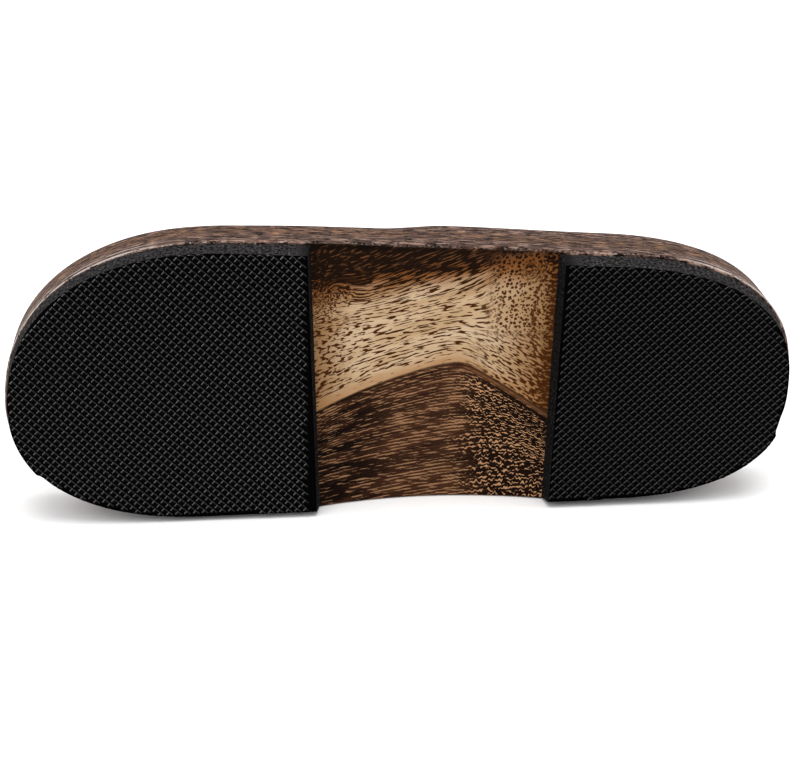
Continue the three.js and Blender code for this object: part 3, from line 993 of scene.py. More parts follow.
pores = wood.most(wood.most(pores, growth_line), end_dashes)
print(len(DENSER), "zones change how dense the pores are")

# %% Sapwood colours
gold = wood.most(along("gold forefoot"), along("gold heel"))
sap_tone = wood.mix(wood.fade(drift, 0.35, 0.65), tint(212, 184, 150), tint(194, 161, 122))
sap_tone = wood.layers(
    sap_tone,
    (gold, 0.8, (152, 108, 64)),
    (below("warm"), 0.6, (172, 124, 78)),
    (corner, 0.45, (150, 100, 56)),
    # Partly painted shade beside the heel pad, partly burnt wood.
    (pad_shade_and_burn, 0.7, (112, 66, 30)),
    (burnt, 1.0, (132, 76, 28)),
    (dark_band, 1.0, (98, 62, 37)),
)
pore_tone = wood.mix(burnt, tint(72, 37, 10), tint(28, 15, 7))
sap_colour = wood.mix(pores, sap_tone, pore_tone)
print("sapwood mixed")

# %% [markdown]
# ## The heartwood
# Here it is the other way round: pale marks on a dark ground. The marks lie in rows, so they are a
# sine across the grain, broken up by noises. Towards the heel the rows waver more and more, as they
# do where a trunk's fibres are cut at a slant, and their marks turn into short flames.

# %% Heartwood
ROW_SPACING = 1.25
FLAME_SPACING = 1.75
patches = wood.noise(wood.times(grain, (0.6, 1.0, 1.0)), 0.22, 3.0, 0.6, flat=True)
heart_tone = wood.ramp(
    patches,
    (0.34, tint(15, 8, 5)),
    (0.48, tint(30, 16, 10)),
    (0.62, tint(62, 36, 21)),
)
heart_light = wood.both(along("light begins"), along("light ends"))
streak_place = wood.times(wood.plus(grain, (2.1, 9.4, 0.0)), (0.09, 1.0, 1.0))
streaks = wood.noise(streak_place, 3.9, 2.0, 0.6, flat=True)
flame_zone = wood.both(wood.fade(swayed(sole_x, 16.0), 150.0, 166.0), below("flame"))
still_zone = wood.other(flame_zone)
row_waver = wood.noise(wood.times(sole, (1.0, 0.5, 1.0)), 0.9, 0.0, 0.5, flat=True)
row_swing = wood.total(0.4, wood.both(flame_zone, 1.9))
row_at = wood.total(wood.split(grain)[1], wood.both(wood.total(row_waver, -0.5), row_swing))
still_rows = wood.math("SINE", wood.both(row_at, 2 * math.pi / ROW_SPACING))
flame_rows = wood.math("SINE", wood.both(row_at, 2 * math.pi / FLAME_SPACING))
long_breaks = wood.noise(wood.times(sole, (0.16, 1.1, 1.0)), 1.0, 1.5, 0.5, flat=True)
short_breaks = wood.noise(wood.times(sole, (0.5, 1.0, 1.0)), 1.1, 1.0, 0.5, flat=True)
breaks = wood.blend(flame_zone, long_breaks, short_breaks)
row_share = wood.total(0.34, wood.both(flame_zone, 0.26))
streak_share = wood.total(0.6, wood.both(still_zone, 1.4))
row_value = wood.total(
    wood.both(wood.blend(flame_zone, still_rows, flame_rows), row_share),
    wood.both(wood.total(streaks, -0.5), streak_share),
    wood.both(wood.total(breaks, -0.5), 2.2),
    wood.both(wood.total(patches, -0.5), 0.9),
    wood.both(heart_light, 0.12),
)
pale_share = wood.total(0.56, wood.both(flame_zone, 0.44))
heart_colour = wood.layers(
    heart_tone,
    (heart_light, 0.35, (96, 60, 40)),
    (wood.fade(streaks, 0.48, 0.36), 0.85, (20, 10, 7)),
    (flame_zone, 0.8, (24, 12, 7)),
    (wood.fade(row_value, 0.32, 0.6), pale_share, (192, 144, 104)),
    (wood.both(below("brown"), along("behind crest")), 0.75, (108, 70, 42)),
)
print("heartwood mixed, rows every", ROW_SPACING, "mm")

# %% [markdown]
# ## Walls and footbed
# The wall is cut along the grain all round, so its marks run with the outline: the coordinate is
# the way round it and the height up it. Near the toe and the heel a tool has left level lines. The
# footbed shows long grain with a slow bend, in sole coordinates without the height, because the
# ramp would otherwise squeeze it.

# %% Wall
wall_streaks = wood.noise(wood.times(sole, (0.07, 0.35, 0.4)), 1.5, 5.0, 0.7)
wall_colour = wood.ramp(
    wall_streaks,
    (0.32, tint(40, 28, 25)),
    (0.46, tint(78, 59, 53)),
    (0.58, tint(106, 82, 73)),
    (0.72, tint(142, 108, 90)),
)
pore_place = wood.pair(wood.both(round_wall, 0.24), up_wall)
wall_marks = wood.noise(pore_place, 0.9, 3.0, 0.7, flat=True)
wall_colour = wood.layers(wall_colour, (wood.fade(wall_marks, 0.5, 0.43), 0.95, (22, 13, 10)))
fleck_place = wood.pair(wood.both(round_wall, 0.14), wood.both(up_wall, 1.3))
flecks = wood.noise(wood.plus(fleck_place, (3.0, 5.0, 0.0)), 1.05, 3.0, 0.7, flat=True)
wall_middle = wood.both(wood.fade(up_wall, 5.0, 9.0), wood.fade(up_wall, 18.0, 13.0))
fleck_colour = wood.mix(wall_middle, tint(186, 152, 134), tint(176, 132, 98))
wall_colour = wood.mix(wood.both(wood.fade(flecks, 0.54, 0.62), 0.75), wall_colour, fleck_colour)
# Painted highlight: pale specks along the wall's lower chamfer, where it would catch the light.
lit_chamfer_band = wood.both(wood.fade(up_wall, 0.0, 0.2), wood.fade(up_wall, 0.9, 0.4))
painted_chamfer_highlight = wood.both(lit_chamfer_band, wood.fade(wood.noise(sole, 0.9, 3.0, 0.7), 0.5, 0.62))
tool_lines = wood.fade(wood.math("SINE", wood.both(up_wall, 2.1)), 0.62, 0.95)
tool_zone = wood.both(wood.most(along("toe"), along("heel")), wood.fade(up_wall, 7.6, 4.6))
tool_share = wood.both(tool_lines, tool_zone, wood.fade(wall_marks, 0.36, 0.48))
wall_colour = wood.layers(
    wall_colour,
    (painted_chamfer_highlight, 0.6, (206, 190, 182)),
    (tool_share, 0.85, (206, 194, 188)),
)
print("wall mixed")

# %% Footbed
BED_BEND = 16.0
bed_sway = wood.noise(wood.times(sole, (0.012, 0.02, 0.0)), 1.0, 1.0, 0.5)
bed_place = wood.plus(sole, wood.pair(0.0, wood.both(bed_sway, BED_BEND)))
bed_colour = wood.ramp(
    wood.noise(wood.times(bed_place, (0.022, 0.42, 0.0)), 1.0, 5.0, 0.65),
    (0.34, tint(62, 43, 35)),
    (0.5, tint(98, 73, 60)),
    (0.66, tint(132, 98, 76)),
)
bed_pores = wood.noise(wood.times(bed_place, (0.1, 1.5, 0.0)), 1.3, 1.0, 0.5)
bed_colour = wood.layers(bed_colour, (wood.fade(bed_pores, 0.58, 0.68), 0.7, (42, 27, 21)))
print("footbed mixed")

# %% The whole wood
OUTER_EDGE = (77.0, 0.03)
from_edge = wood.math("SUBTRACT", sole_x, OUTER_EDGE[0])
from_edge = wood.math("SUBTRACT", sole_y, wood.both(from_edge, OUTER_EDGE[1]))
# Painted shade: a dark strip on the arch just under the outer wall's lower edge, broken up by the drift.
painted_edge_shade = wood.both(wood.fade(from_edge, -45.8, -47.6), wood.fade(drift, 0.35, 0.6))
arch_colour = wood.layers(
    wood.mix(below("heart"), sap_colour, heart_colour),
    (wood.both(below("line begins"), below("line ends")), 0.75, (44, 24, 15)),
    (painted_edge_shade, 0.8, (12, 7, 5)),
)
wood_colour = wood.mix(arch_share, wood.mix(bed_share, wall_colour, bed_colour), arch_colour)
close_finish(
    wood,
    Base_Color=wood_colour,
    Roughness=0.55,
    Specular_IOR_Level=0.02,
    Normal=wood.bump(wood.other(pores), 0.25, 0.1),
)
settle(wood_base, "wood_base", wood_finish)

# %% [markdown]
# ## The rubber pads
# Each pad is cut from studded sheet: a body with four-sided studs that stand on their corners,
# parted by two sets of crossing grooves. The body is a stack of rings round the pad's outline,
# from the groove's floor over a thin lip and up the wall. The studs are thousands of the same
# small pyramid without its top, so they are made as one array, and corners that would pass the
# outline are drawn back towards the stud's middle, as a knife would cut them.

# %% Pad outline and body
GROOVE_DEPTH = 0.75
LIP = 0.35
# Rings over the lip: millimetres in from the outline, and height over the tread.
LIP_LEVELS = ((LIP, GROOVE_DEPTH), (LIP * 0.7, 0.36), (LIP * 0.4, 0.3), (0.06, 0.36))
LIP_FOOT = 0.55
PAD_EDGE = {"forefoot": (103.4, FOREFOOT_SLANT, 1), "heel": (186.3, HEEL_SLANT, -1)}
EDGE_DRAFT = 1.3
# Rings up the wall: share of the way from the tread's outline to the top's, and height.
WALL_LEVELS = ((0.15, 1.6), (0.5, 4.2), (0.98, PAD_THICKNESS - 0.25))
TOP_EDGE = 0.2
PAD_SIDE_STEPS = 14
PAD_ROUND_STEPS = 72
# Where the knife strayed along the inner side: x along the sole, and millimetres outwards.
TRIM = {
    "forefoot": ((0.0, 4.0, 11.2, 12.2, 20.0), (-0.3, 0.0, 0.7, -0.15, 0.0)),
    "heel": ((205.0, 239.0, 255.0, 263.1, 263.7, 265.4, 266.4), (-0.4, -0.3, 0.2, 0.8, -0.2, -0.6, 0.0)),
}


def trimmed(arc, pad):
    """Moves the points of an inner quarter along its spokes by the knife's error at their x."""
    hub = np.array([arc[-1, 0], 0.0])
    spoke = arc - hub
    spoke = spoke / np.linalg.norm(spoke, axis=1, keepdims=True)
    return arc + spoke * np.interp(arc[:, 0], *TRIM[pad])[:, None] * (arc[:, 1:] > 0.01)


def pad_ring(level, pad, height):
    """The pad's closed outline at a height above the tread: round end, sides, slanted inner edge."""
    middle, slant, towards = PAD_EDGE[pad]
    edge = middle + towards * EDGE_DRAFT * height / PAD_THICKNESS
    sides = {}
    for side in ("outer", "inner"):
        begin = TOE_REACH[side] if pad == "forefoot" else HEEL_ROUND_START
        end = "toe" if pad == "forefoot" else "heel"
        marks = [(begin, 0), (meet_line(level, side, edge, slant), PAD_SIDE_STEPS)]
        arc = quarter_round(level, side, end, PAD_ROUND_STEPS)
        if side == "inner":
            arc = trimmed(arc, pad)
        sides[side] = np.concatenate([arc, side_points(level, side, marks)])
    first, second = ("outer", "inner") if pad == "forefoot" else ("inner", "outer")
    return np.concatenate([sides[first], sides[second][:0:-1]])


def inset(ring, distance):
    """A closed outline moved in by a distance, mitred where two edges meet."""
    ahead = np.roll(ring, -1, axis=0) - ring
    ahead = ahead / np.linalg.norm(ahead, axis=1, keepdims=True)
    behind = np.roll(ahead, 1, axis=0)
    inner_ahead = np.stack([-ahead[:, 1], ahead[:, 0]], axis=1)
    inner_behind = np.stack([-behind[:, 1], behind[:, 0]], axis=1)
    middle = inner_ahead + inner_behind
    return ring + distance * middle * (2 / (middle ** 2).sum(axis=1, keepdims=True))


def pad_body(pad):
    """Rings from the groove floor over the lip, up the wall and in over the glued top."""
    tread = pad_ring("tread", pad, 0.0)
    top = pad_ring("pad_top", pad, PAD_THICKNESS)
    levels = [(inset(tread, distance), height) for distance, height in LIP_LEVELS]
    levels.append((tread, LIP_FOOT))
    levels += [(top * share + tread * (1 - share), height) for share, height in WALL_LEVELS]
    levels.append((inset(top, TOP_EDGE), PAD_THICKNESS))
    rings = np.stack([raised(plan, toe_spring(plan[:, 0]) + height) for plan, height in levels])
    rows, columns = rings.shape[:2]
    walls = grid_faces(rows, columns, wrap=True)
    near = np.arange(1, columns // 2 + 1)
    strip = np.stack([near - 1, near, columns - near, (columns - near + 1) % columns], axis=1)
    glued = strip[:, ::-1] + (rows - 1) * columns
    faces = np.concatenate([walls, strip[:, ::-1], glued])
    cut_share = np.repeat(np.arange(rows) >= len(LIP_LEVELS), columns).astype(float)
    return rings.reshape(-1, 3), faces, cut_share


body_points, body_faces, _ = pad_body("forefoot")
print("forefoot pad body:", len(body_points), "points,", len(body_faces), "faces")

# %% Studs
# Two sets of grooves: their direction in plan, their spacing and their width at the tread.
GROOVES = {
    "forefoot": {"wide": (40.9, 2.09, 0.85), "narrow": (130.7, 2.17, 0.5)},
    "heel": {"wide": (135.9, 2.01, 0.8), "narrow": (42.6, 2.18, 0.56)},
}
STUD_SLOPE = {"forefoot": 0.2, "heel": 0.14}
STUD_SINK = 0.08
STUD_MARGIN = 0.15
STUD_REACH = 70
STUD_HALVINGS = 12
FLANK_TURN = 0.6
INNER_EDGE_FADE = (6.0, 1.5)
PAD_SHARP_DEG = 28
STUD_CORNERS = np.array([(-1, -1), (1, -1), (1, 1), (-1, 1)])
UP_LEFT = np.array([-1.0, -1.0]) / math.sqrt(2)
UP_RIGHT = np.array([1.0, -1.0]) / math.sqrt(2)


def depth_inside(points, ring):
    """Distance of plan points to a closed outline, positive inside it: nearest edge, crossing count."""
    start, end = ring, np.roll(ring, -1, axis=0)
    edge = end - start
    to_point = points[:, None] - start[None]
    share = (to_point * edge).sum(axis=2) / np.maximum((edge ** 2).sum(axis=1), 1e-12)
    gap = to_point - edge[None] * np.clip(share, 0, 1)[..., None]
    distance = np.sqrt((gap ** 2).sum(axis=2).min(axis=1))
    above = start[None, :, 1] > points[:, None, 1]
    crosses = above != (end[None, :, 1] > points[:, None, 1])
    slope = edge[:, 0] / np.where(edge[:, 1] == 0, 1e-12, edge[:, 1])
    cross_x = start[None, :, 0] + (points[:, None, 1] - start[None, :, 1]) * slope[None]
    inside = (crosses & (points[:, None, 0] < cross_x)).sum(axis=1) % 2 == 1
    return np.where(inside, distance, -distance)


def groove_direction(degrees):
    """A unit vector in plan."""
    return np.array([math.cos(math.radians(degrees)), math.sin(math.radians(degrees))])


def stud_lattice(pad, ring):
    """Middles where neither set of grooves runs, and the two half sides of a stud's flat top."""
    wide_deg, wide_pitch, wide_gap = GROOVES[pad]["wide"]
    narrow_deg, narrow_pitch, narrow_gap = GROOVES[pad]["narrow"]
    skew = abs(math.sin(math.radians(wide_deg - narrow_deg)))
    along_wide = groove_direction(wide_deg) * narrow_pitch / skew
    along_narrow = groove_direction(narrow_deg) * wide_pitch / skew
    count = np.arange(-STUD_REACH, STUD_REACH + 1)
    first, second = np.meshgrid(count, count, indexing="ij")
    middles = first.reshape(-1, 1) * along_wide + second.reshape(-1, 1) * along_narrow
    middles = middles + ring.mean(axis=0).round()
    low, high = ring.min(axis=0), ring.max(axis=0)
    middles = middles[((middles > low) & (middles < high)).all(axis=1)]
    half_wide = along_wide / 2 * (1 - narrow_gap / narrow_pitch)
    half_narrow = along_narrow / 2 * (1 - wide_gap / wide_pitch)
    return middles[depth_inside(middles, ring) > STUD_MARGIN], half_wide, half_narrow


def draw_back(middles, corners, ring):
    """Moves corners outside the ring towards their stud's middle, by halving the way again and again."""
    stay, go = np.zeros(len(corners)), np.ones(len(corners))
    for _ in range(STUD_HALVINGS):
        half = (stay + go) / 2
        inside = depth_inside(middles + (corners - middles) * half[:, None], ring) > 0
        stay, go = np.where(inside, half, stay), np.where(inside, go, half)
    outside = depth_inside(corners, ring) < 0
    return np.where(outside[:, None], middles + (corners - middles) * stay[:, None], corners)


def stud_turns(top):
    """At a stud's eight points: how far to its upper left side and upper right side, 1 at its foot."""
    wide, narrow = top[1] - top[0], top[3] - top[0]
    sides = (wide, narrow)
    first, second = (0, 1) if abs(wide @ UP_LEFT) > abs(narrow @ UP_LEFT) else (1, 0)
    left = STUD_CORNERS[:, first] * np.sign(sides[first] @ UP_LEFT)
    right = STUD_CORNERS[:, second] * np.sign(sides[second] @ UP_RIGHT)
    depth = np.repeat([0.0, 1.0], 4)
    return np.stack([np.tile(left, 2), np.tile(right, 2), depth], axis=1)


def pad_studs(pad):
    """Every stud as eight points, four on top and four at its foot, six faces, and its points' turns."""
    ring = inset(pad_ring("tread", pad, 0.0), LIP * 0.4)[::2]
    middles, half_wide, half_narrow = stud_lattice(pad, ring)
    foot_wide = half_wide * (1 + STUD_SLOPE[pad] / np.linalg.norm(half_wide))
    foot_narrow = half_narrow * (1 + STUD_SLOPE[pad] / np.linalg.norm(half_narrow))
    top = STUD_CORNERS[:, :1] * half_wide + STUD_CORNERS[:, 1:] * half_narrow
    foot = STUD_CORNERS[:, :1] * foot_wide + STUD_CORNERS[:, 1:] * foot_narrow
    heights = np.repeat([0.0, GROOVE_DEPTH + STUD_SINK], 4)
    plan = (middles[:, None] + np.concatenate([top, foot])[None]).reshape(-1, 2)
    owners = np.repeat(middles, 8, axis=0)
    plan = draw_back(owners, plan, ring)
    points = raised(plan, toe_spring(plan[:, 0]) + np.tile(heights, len(middles)))
    sides = [(k, (k + 1) % 4, (k + 1) % 4 + 4, k + 4) for k in range(4)]
    cell = np.array([(3, 2, 1, 0), *sides, (4, 5, 6, 7)])
    faces = (np.arange(len(middles))[:, None, None] * 8 + cell[None]).reshape(-1, 4)
    return points, faces, np.tile(stud_turns(top), (len(middles), 1))


def flank_turns(points, faces):
    """For each stud face: share turned to the upper left, share turned to the upper right, zero."""
    a, b, c, d = (points[faces[:, k]] for k in range(4))
    normal = np.cross(c - a, d - b)
    normal = normal / np.maximum(np.linalg.norm(normal, axis=1, keepdims=True), 1e-9)
    own = points[faces].mean(axis=1)
    stud = own.reshape(-1, 6, 3).mean(axis=1).repeat(6, axis=0)
    normal = normal * np.sign(((own - stud) * normal).sum(axis=1, keepdims=True))
    to_left, to_right = normal[:, :2] @ UP_LEFT, normal[:, :2] @ UP_RIGHT
    return np.stack([to_left > FLANK_TURN, to_right > FLANK_TURN, np.zeros(len(faces))], axis=1)


def rubber_pad(pad):
    """Body and studs as one piece, each a closed skin; points and faces know what part they are."""
    body, skin, cut_share = pad_body(pad)
    studs, stud_skin, turns = pad_studs(pad)
    faces = np.concatenate([outward(body, skin), outward(studs, stud_skin) + len(body)])
    points = np.concatenate([body, studs])
    piece = new_piece(pad + "_pad_finish", points, faces, PAD_SHARP_DEG, weld=False)
    nowhere = np.tile([-1.0, -1.0, 0.0], (len(body), 1))
    give_attribute(piece, "stud", np.concatenate([nowhere, turns]))
    inner_edge = smooth_step(*INNER_EDGE_FADE, np.abs(points[:, 0] - PAD_EDGE[pad][0]))
    cut = np.concatenate([cut_share, np.zeros(len(studs))])
    give_attribute(piece, "cut", np.stack([cut, inner_edge, way_round(points[:, 0])], axis=1))
    # The faces turned to the upper left or upper right are the ones the finish paints as lit.
    flanks = np.concatenate([np.zeros((len(skin), 3)), flank_turns(points, stud_skin + len(body))])
    give_attribute(piece, "flank", flanks, "FACE")
    give_attribute(piece, "sole", points)
    print(pad, "pad has", len(studs) // 8, "studs")
    return piece


forefoot_pad = rubber_pad("forefoot")
heel_pad = rubber_pad("heel")

# %% [markdown]
# ## The rubber's finish
# The tread is black. Painted highlights stand for the light that catches each stud's upper left and
# upper right flank and the edges of its top beside them. They are brighter on the forefoot than on the
# heel and vary at random. The cut walls are rougher and greyer, with pale specks of filler, and painted
# shade darkens the walls that face the arch. Numbers stored at the points and faces tell these apart.

# %% Tread
rubber_finish, rubber = new_finish("black_rubber")
rubber_at = rubber.attribute("sole")
stud_left, stud_right, stud_depth = rubber.split(rubber.attribute("stud"))
flank_left, flank_right, _ = rubber.split(rubber.attribute("flank"))
wall_share, inner_edge, round_pad = rubber.split(rubber.attribute("cut"))
rubber_x, rubber_y, rubber_z = rubber.split(rubber_at)
on_heel = rubber.fade(rubber_x, 140.0, 150.0)
grit = rubber.noise(rubber_at, 1.6, 5.0, 0.7)
glint_variation = rubber.fade(grit, 0.3, 0.65)
near_top = rubber.fade(stud_depth, 1.0, 0.1)
# Painted highlight: each stud's top is lighter along its upper left and upper right edges.
tread_colour = rubber.layers(
    rubber.mix(rubber.fade(grit, 0.4, 0.7), tint(1, 1, 1), tint(5, 5, 6)),
    (rubber.both(rubber.fade(stud_right, 0.45, 1.0), near_top), 0.3, (66, 66, 66)),
    (rubber.both(rubber.fade(stud_left, 0.4, 1.0), near_top), 0.3, (84, 84, 84)),
)
# Painted highlights on the flanks: dim grey on the upper right ones, brighter grey on the upper left
# ones, and bright glints there on the forefoot.
right_light = rubber.mix(glint_variation, tint(50, 50, 51), tint(70, 69, 69))
painted_glint = rubber.mix(glint_variation, tint(88, 88, 88), tint(164, 163, 162))
left_light = rubber.mix(on_heel, painted_glint, rubber.mix(glint_variation, tint(62, 62, 62), tint(104, 103, 103)))
tread_colour = rubber.mix(rubber.both(flank_right, near_top), tread_colour, right_light)
tread_colour = rubber.mix(rubber.both(flank_left, near_top), tread_colour, left_light)
print("tread mixed")

# %% Cut rubber and the whole rubber
pad_way = rubber.total(round_pad, rubber.both(inner_edge, rubber_y))
wall_at = rubber.pair(pad_way, rubber_z)
coarse = rubber.noise(wall_at, 0.9, 2.0, 0.6, flat=True)
specks = scatter(rubber, wall_at, 0.75, 0.24, 0.72, 0.2)
cut_colour = rubber.layers(
    rubber.mix(rubber.fade(coarse, 0.34, 0.66), tint(20, 19, 19), tint(62, 60, 60)),
    (specks, 0.5, (124, 120, 116)),
    # Painted shade: the cut walls beside the arch are darkened nearly to black.
    (inner_edge, 0.7, (12, 11, 11)),
)
rubber_colour = rubber.mix(wall_share, tread_colour, cut_colour)
rubber_rough = rubber.total(0.5, rubber.both(wall_share, 0.3))
close_finish(
    rubber,
    Base_Color=rubber_colour,
    Roughness=rubber_rough,
    Specular_IOR_Level=0.01,
    Normal=rubber.bump(grit, 0.3, 0.12),
)
settle(forefoot_pad, "forefoot_pad", rubber_finish)
settle(heel_pad, "heel_pad", rubber_finish)

# %% [markdown]
# ## The strap
# The strap is a stuffed cloth tube, sewn shut along the side that faces the foot. It is too narrow
# for a cloth simulation to keep its section, so its softness is modelled: a sunk seam, shallow
# creases where it bends, and a slight unevenness of the stuffing, all pressed inwards so that the
# tube never grows past its solid.

# %% Strap surface
SEAM_ANGLE = -np.pi / 2
SEAM_DEPTH = 0.7
SEAM_WIDTH = 0.16
CREASE_DEPTH = 0.35
CREASE_REACH = {"front": 16.0, "ends": 22.0}
CREASE_SHARE = {"all": 0.25, "ends": 0.8}
RIPPLE = {"rate": 1.35, "sway": 1.4, "twist": 0.11}
STUFFING = 0.2
STRAP_GIRTH = 48.0
CLOTH_SHARP_DEG = 50


def strap_surface():
    """The plain tube drawn in towards its centre line by the seam, the creases and the stuffing."""
    rings = strap_rings(SAG, STRAP_STEPS, STRAP_RING)
    centre = rings.mean(axis=1, keepdims=True)
    angle = np.linspace(0, 2 * np.pi, STRAP_RING, endpoint=False)[None]
    steps = np.linalg.norm(np.diff(centre[:, 0], axis=0), axis=1)
    length = np.concatenate([[0], np.cumsum(steps)])[:, None]
    from_seam = np.abs((angle - SEAM_ANGLE + np.pi) % (2 * np.pi) - np.pi)
    seam = SEAM_DEPTH * np.exp(-(from_seam / SEAM_WIDTH) ** 2)
    to_front = np.exp(-((length - length.max() / 2) / CREASE_REACH["front"]) ** 2)
    from_end = np.stack([length, length.max() - length])
    to_ends = np.exp(-(from_end / CREASE_REACH["ends"]) ** 2).sum(axis=0)
    sway = RIPPLE["sway"] * np.sin(angle + RIPPLE["twist"] * length)
    ripple = 0.5 + 0.5 * np.sin(length * RIPPLE["rate"] + sway)
    crease_share = CREASE_SHARE["all"] + to_front + CREASE_SHARE["ends"] * to_ends
    creases = CREASE_DEPTH * crease_share * ripple ** 2
    uneven = np.sin(length * 0.23 + 2 * angle) * np.sin(length * 0.09 - angle)
    drawn = (seam + creases + STUFFING * (1 + uneven))[..., None]
    spoke = rings - centre
    reach = np.linalg.norm(spoke, axis=2, keepdims=True)
    return centre + spoke * (1 - drawn / reach), length[:, 0]


def give_cloth_map(piece, sheets):
    """A map in metres along and round each sheet; a cell that closes a ring runs on past its end."""
    order = np.zeros(len(piece.data.loops), np.int32)
    piece.data.loops.foreach_get("vertex_index", order)
    flat = np.zeros((len(order), 2), np.float32)
    first_loop = 0
    for first_point, cells, columns, along, girth in sheets:
        corners = order[first_loop:first_loop + 4 * cells].reshape(-1, 4) - first_point
        row, column = corners // columns, corners % columns
        rows_close = (row.max(axis=1) - row.min(axis=1) > 1)[:, None]
        ring_closes = (column.max(axis=1) - column.min(axis=1) > 1)[:, None]
        row = np.where(rows_close & (row == 0), len(along) - 1, row)
        column = np.where(ring_closes & (column == 0), columns, column)
        pairs = np.stack([along[row], column * girth / columns], axis=2) / 1000
        flat[first_loop:first_loop + 4 * cells] = pairs.reshape(-1, 2)
        first_loop += 4 * cells
    layer = piece.data.uv_layers.new(name="cloth")
    layer.data.foreach_set("uv", flat.ravel())


strap_points, strap_length = strap_surface()
thong_strap = linked("thong_strap_finish", *capped_tube(strap_points))
shade(thong_strap, CLOTH_SHARP_DEG)
strap_cells = (len(strap_points) - 1) * STRAP_RING
give_cloth_map(thong_strap, [(0, strap_cells, STRAP_RING, strap_length, STRAP_GIRTH)])
print("the strap is", round(float(strap_length.max())), "mm long from socket to socket")

# %% [markdown]
# ## The toe loop
# A flat band of the same cloth goes round the strap's front, and its two ends run down together
# as a post into the wood. The band is a ring with a flat oval section; the post is an oval tube,
# pleated a little by the pull.

# %% Toe loop surface
BAND_RADIUS = 7.2
BAND_HALF = (2.0, 5.5)
POST_TOP = LOOP_FLOOR + ARM_ROWS[0, 2] - BAND_RADIUS
BAND_STEPS = 72
BAND_RING = 28
BAND_FULLNESS = 3
BAND_FOLDS = 9
FOLD_DEPTH = 0.05
BAND_NARROWS = 0.06
POST_SLACK = 0.1
POST_LEVELS = 24
POST_RING = 36
POST_PLEATS = 6
PLEAT_DEPTH = 0.035
LOOP_GIRTH = 26.0


def band_surface():
    """A flat oval carried round a circle that stands across the strap's front."""
    turn_at = np.linspace(0, 2 * np.pi, BAND_STEPS, endpoint=False)[:, None]
    angle = np.linspace(0, 2 * np.pi, BAND_RING, endpoint=False)[None]
    norm = np.abs(np.cos(angle)) ** BAND_FULLNESS + np.abs(np.sin(angle)) ** BAND_FULLNESS
    norm = norm ** (-1 / BAND_FULLNESS)
    fold = 1 - FOLD_DEPTH * (1 + np.sin(turn_at * BAND_FOLDS + 2 * np.sin(angle)))
    radius = BAND_RADIUS + BAND_HALF[0] * np.cos(angle) * norm * fold
    aside = BAND_HALF[1] * np.sin(angle) * norm * (1 - BAND_NARROWS + BAND_NARROWS * np.cos(turn_at))
    x = LOOP_X + radius * np.cos(turn_at)
    y = LOOP_Y + aside + 0 * turn_at
    z = LOOP_FLOOR + ARM_ROWS[0, 2] + radius * np.sin(turn_at)
    return np.stack([x, y, z], axis=-1)


band_points = band_surface().reshape(-1, 3)
band_faces = grid_faces(BAND_STEPS + 1, BAND_RING, wrap=True) % len(band_points)
band_faces = outward(band_points, band_faces)
post_levels = np.linspace(LOOP_FLOOR - SOCKET_DEPTH + FIT_GAP, POST_TOP, POST_LEVELS)
post = post_rings(-POST_SLACK, post_levels, POST_RING)
pleat_at = np.linspace(0, 2 * np.pi, POST_RING, endpoint=False) * POST_PLEATS
pleat = 1 - PLEAT_DEPTH * (1 + np.cos(pleat_at))[None, :, None]
post_middle = post.mean(axis=1, keepdims=True)
post = post_middle + (post - post_middle) * pleat
post_points, post_faces = capped_tube(post)
loop_points = np.concatenate([band_points, post_points])
loop_faces = np.concatenate([band_faces, post_faces + len(band_points)])
toe_loop = linked("toe_loop_finish", loop_points, loop_faces)
shade(toe_loop, CLOTH_SHARP_DEG)
band_way = np.linspace(0, 2 * np.pi * BAND_RADIUS, BAND_STEPS + 1)
post_way = np.linspace(0, np.ptp(post[..., 2]), POST_LEVELS)
post_cells = (POST_LEVELS - 1) * POST_RING
give_cloth_map(toe_loop, [
    (0, len(band_faces), BAND_RING, band_way, LOOP_GIRTH),
    (len(band_points), post_cells, POST_RING, post_way, LOOP_GIRTH),
])
print("toe loop:", len(loop_points), "points")

# %% [markdown]
# ## The cloth's finish
# Plain black cotton: two sets of threads that pass over and under each other, so the height is one
# sine along the strap times another round it, with a soft sheen that cloth has at grazing angles.

# %% Cloth
THREADS_PER_MM = 1.6
cloth_finish, cloth = new_finish("black_cotton")
cloth_uv = cloth.add("ShaderNodeUVMap", {}, uv_map="cloth").outputs[0]
cloth_at = cloth.times(cloth_uv, (1000.0, 1000.0, 0.0))
cloth_axis = cloth.split(cloth.times(cloth_at, (math.pi * THREADS_PER_MM,) * 3))
weave = cloth.both(cloth.math("SINE", cloth_axis[0]), cloth.math("SINE", cloth_axis[1]))
slubs = cloth.noise(cloth.times(cloth_at, (0.25, 2.0, 1.0)), 0.8, 2.0, 0.5)
cloth_mottle = cloth.noise(cloth_at, 0.2, 4.0, 0.6)
cloth_colour = cloth.layers(
    cloth.mix(cloth.fade(weave, -0.7, 0.9), tint(15, 14, 16), tint(38, 36, 39)),
    (cloth.fade(slubs, 0.55, 0.75), 0.4, (60, 57, 59)),
    (cloth.fade(cloth_mottle, 0.45, 0.7), 0.3, (54, 51, 53)),
)
close_finish(
    cloth,
    Base_Color=cloth_colour,
    Roughness=0.85,
    Specular_IOR_Level=0.2,
    Sheen_Weight=0.1,
    Sheen_Roughness=0.5,
    Normal=cloth.bump(weave, 0.35, 0.15),
)
settle(thong_strap, "thong_strap", cloth_finish)
settle(toe_loop, "toe_loop", cloth_finish)

# %% [markdown]
# ## Floor and light
# A product photograph on white: a pale floor that runs on behind, one wide soft light from above,
# a weaker one from the front, and white walls all round, which the world stands for.

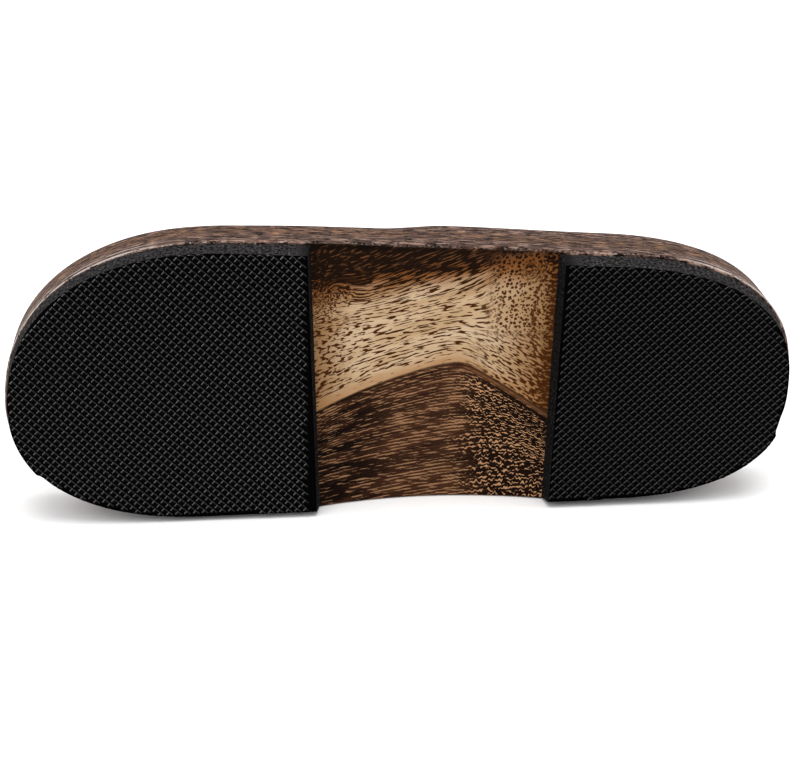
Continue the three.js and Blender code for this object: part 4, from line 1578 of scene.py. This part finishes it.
# %% Floor
FLOOR_HALF = 3.0
FLOOR_GREY = 0.95
floor_mesh = bpy.data.meshes.new("floor")
floor_corners = [(-FLOOR_HALF, -FLOOR_HALF, 0), (FLOOR_HALF, -FLOOR_HALF, 0),
                 (FLOOR_HALF, FLOOR_HALF, 0), (-FLOOR_HALF, FLOOR_HALF, 0)]
floor_mesh.from_pydata(floor_corners, [], [(0, 1, 2, 3)])
floor = bpy.data.objects.new("floor", floor_mesh)
bpy.context.scene.collection.objects.link(floor)
floor_finish, floor_graph = new_finish("pale_floor")
close_finish(floor_graph, Base_Color=(*[FLOOR_GREY] * 3, 1.0), Roughness=0.9, Specular_IOR_Level=0.1)
floor.data.materials.append(floor_finish)
print("floor of", 2 * FLOOR_HALF, "m")

# %% Light
WHITE = (1, 1, 1, 1)
ROOM_LIGHT = 1.0
ROOM_SEEN = 1.05
# For each lamp: the direction it shines in, its spread in degrees and its strength.
LAMPS = {"key": ((-0.05, 0.12, -0.99), 45, 1.6), "front": ((0.3, 0.65, -0.7), 50, 0.75)}
world = bpy.data.worlds.new("studio")
bpy.context.scene.world = world
world.use_nodes = True
studio = Graph(world.node_tree)
studio_ray = studio.add("ShaderNodeLightPath", {}).outputs["Is Camera Ray"]
room = studio.add("ShaderNodeBackground", {"Color": WHITE, "Strength": ROOM_LIGHT})
behind = studio.add("ShaderNodeBackground", {"Color": WHITE, "Strength": ROOM_SEEN})
seen = studio.add("ShaderNodeMixShader", {0: studio_ray, 1: room.outputs[0], 2: behind.outputs[0]})
studio.add("ShaderNodeOutputWorld", {"Surface": seen.outputs[0]})


def soft_sun(name, towards, spread_deg, strength):
    """A far lamp that shines along a direction; its spread sets how soft the shadows are."""
    lamp = bpy.data.lights.new(name, "SUN")
    lamp.angle = math.radians(spread_deg)
    lamp.energy = strength
    holder = bpy.data.objects.new(name, lamp)
    holder.matrix_world = Vector(towards).to_track_quat("-Z", "Y").to_matrix().to_4x4()
    bpy.context.scene.collection.objects.link(holder)


for lamp_name, lamp_values in LAMPS.items():
    soft_sun(lamp_name, *lamp_values)
bpy.context.scene.view_settings.view_transform = "Standard"
print("stage set with", len(LAMPS), "lamps")
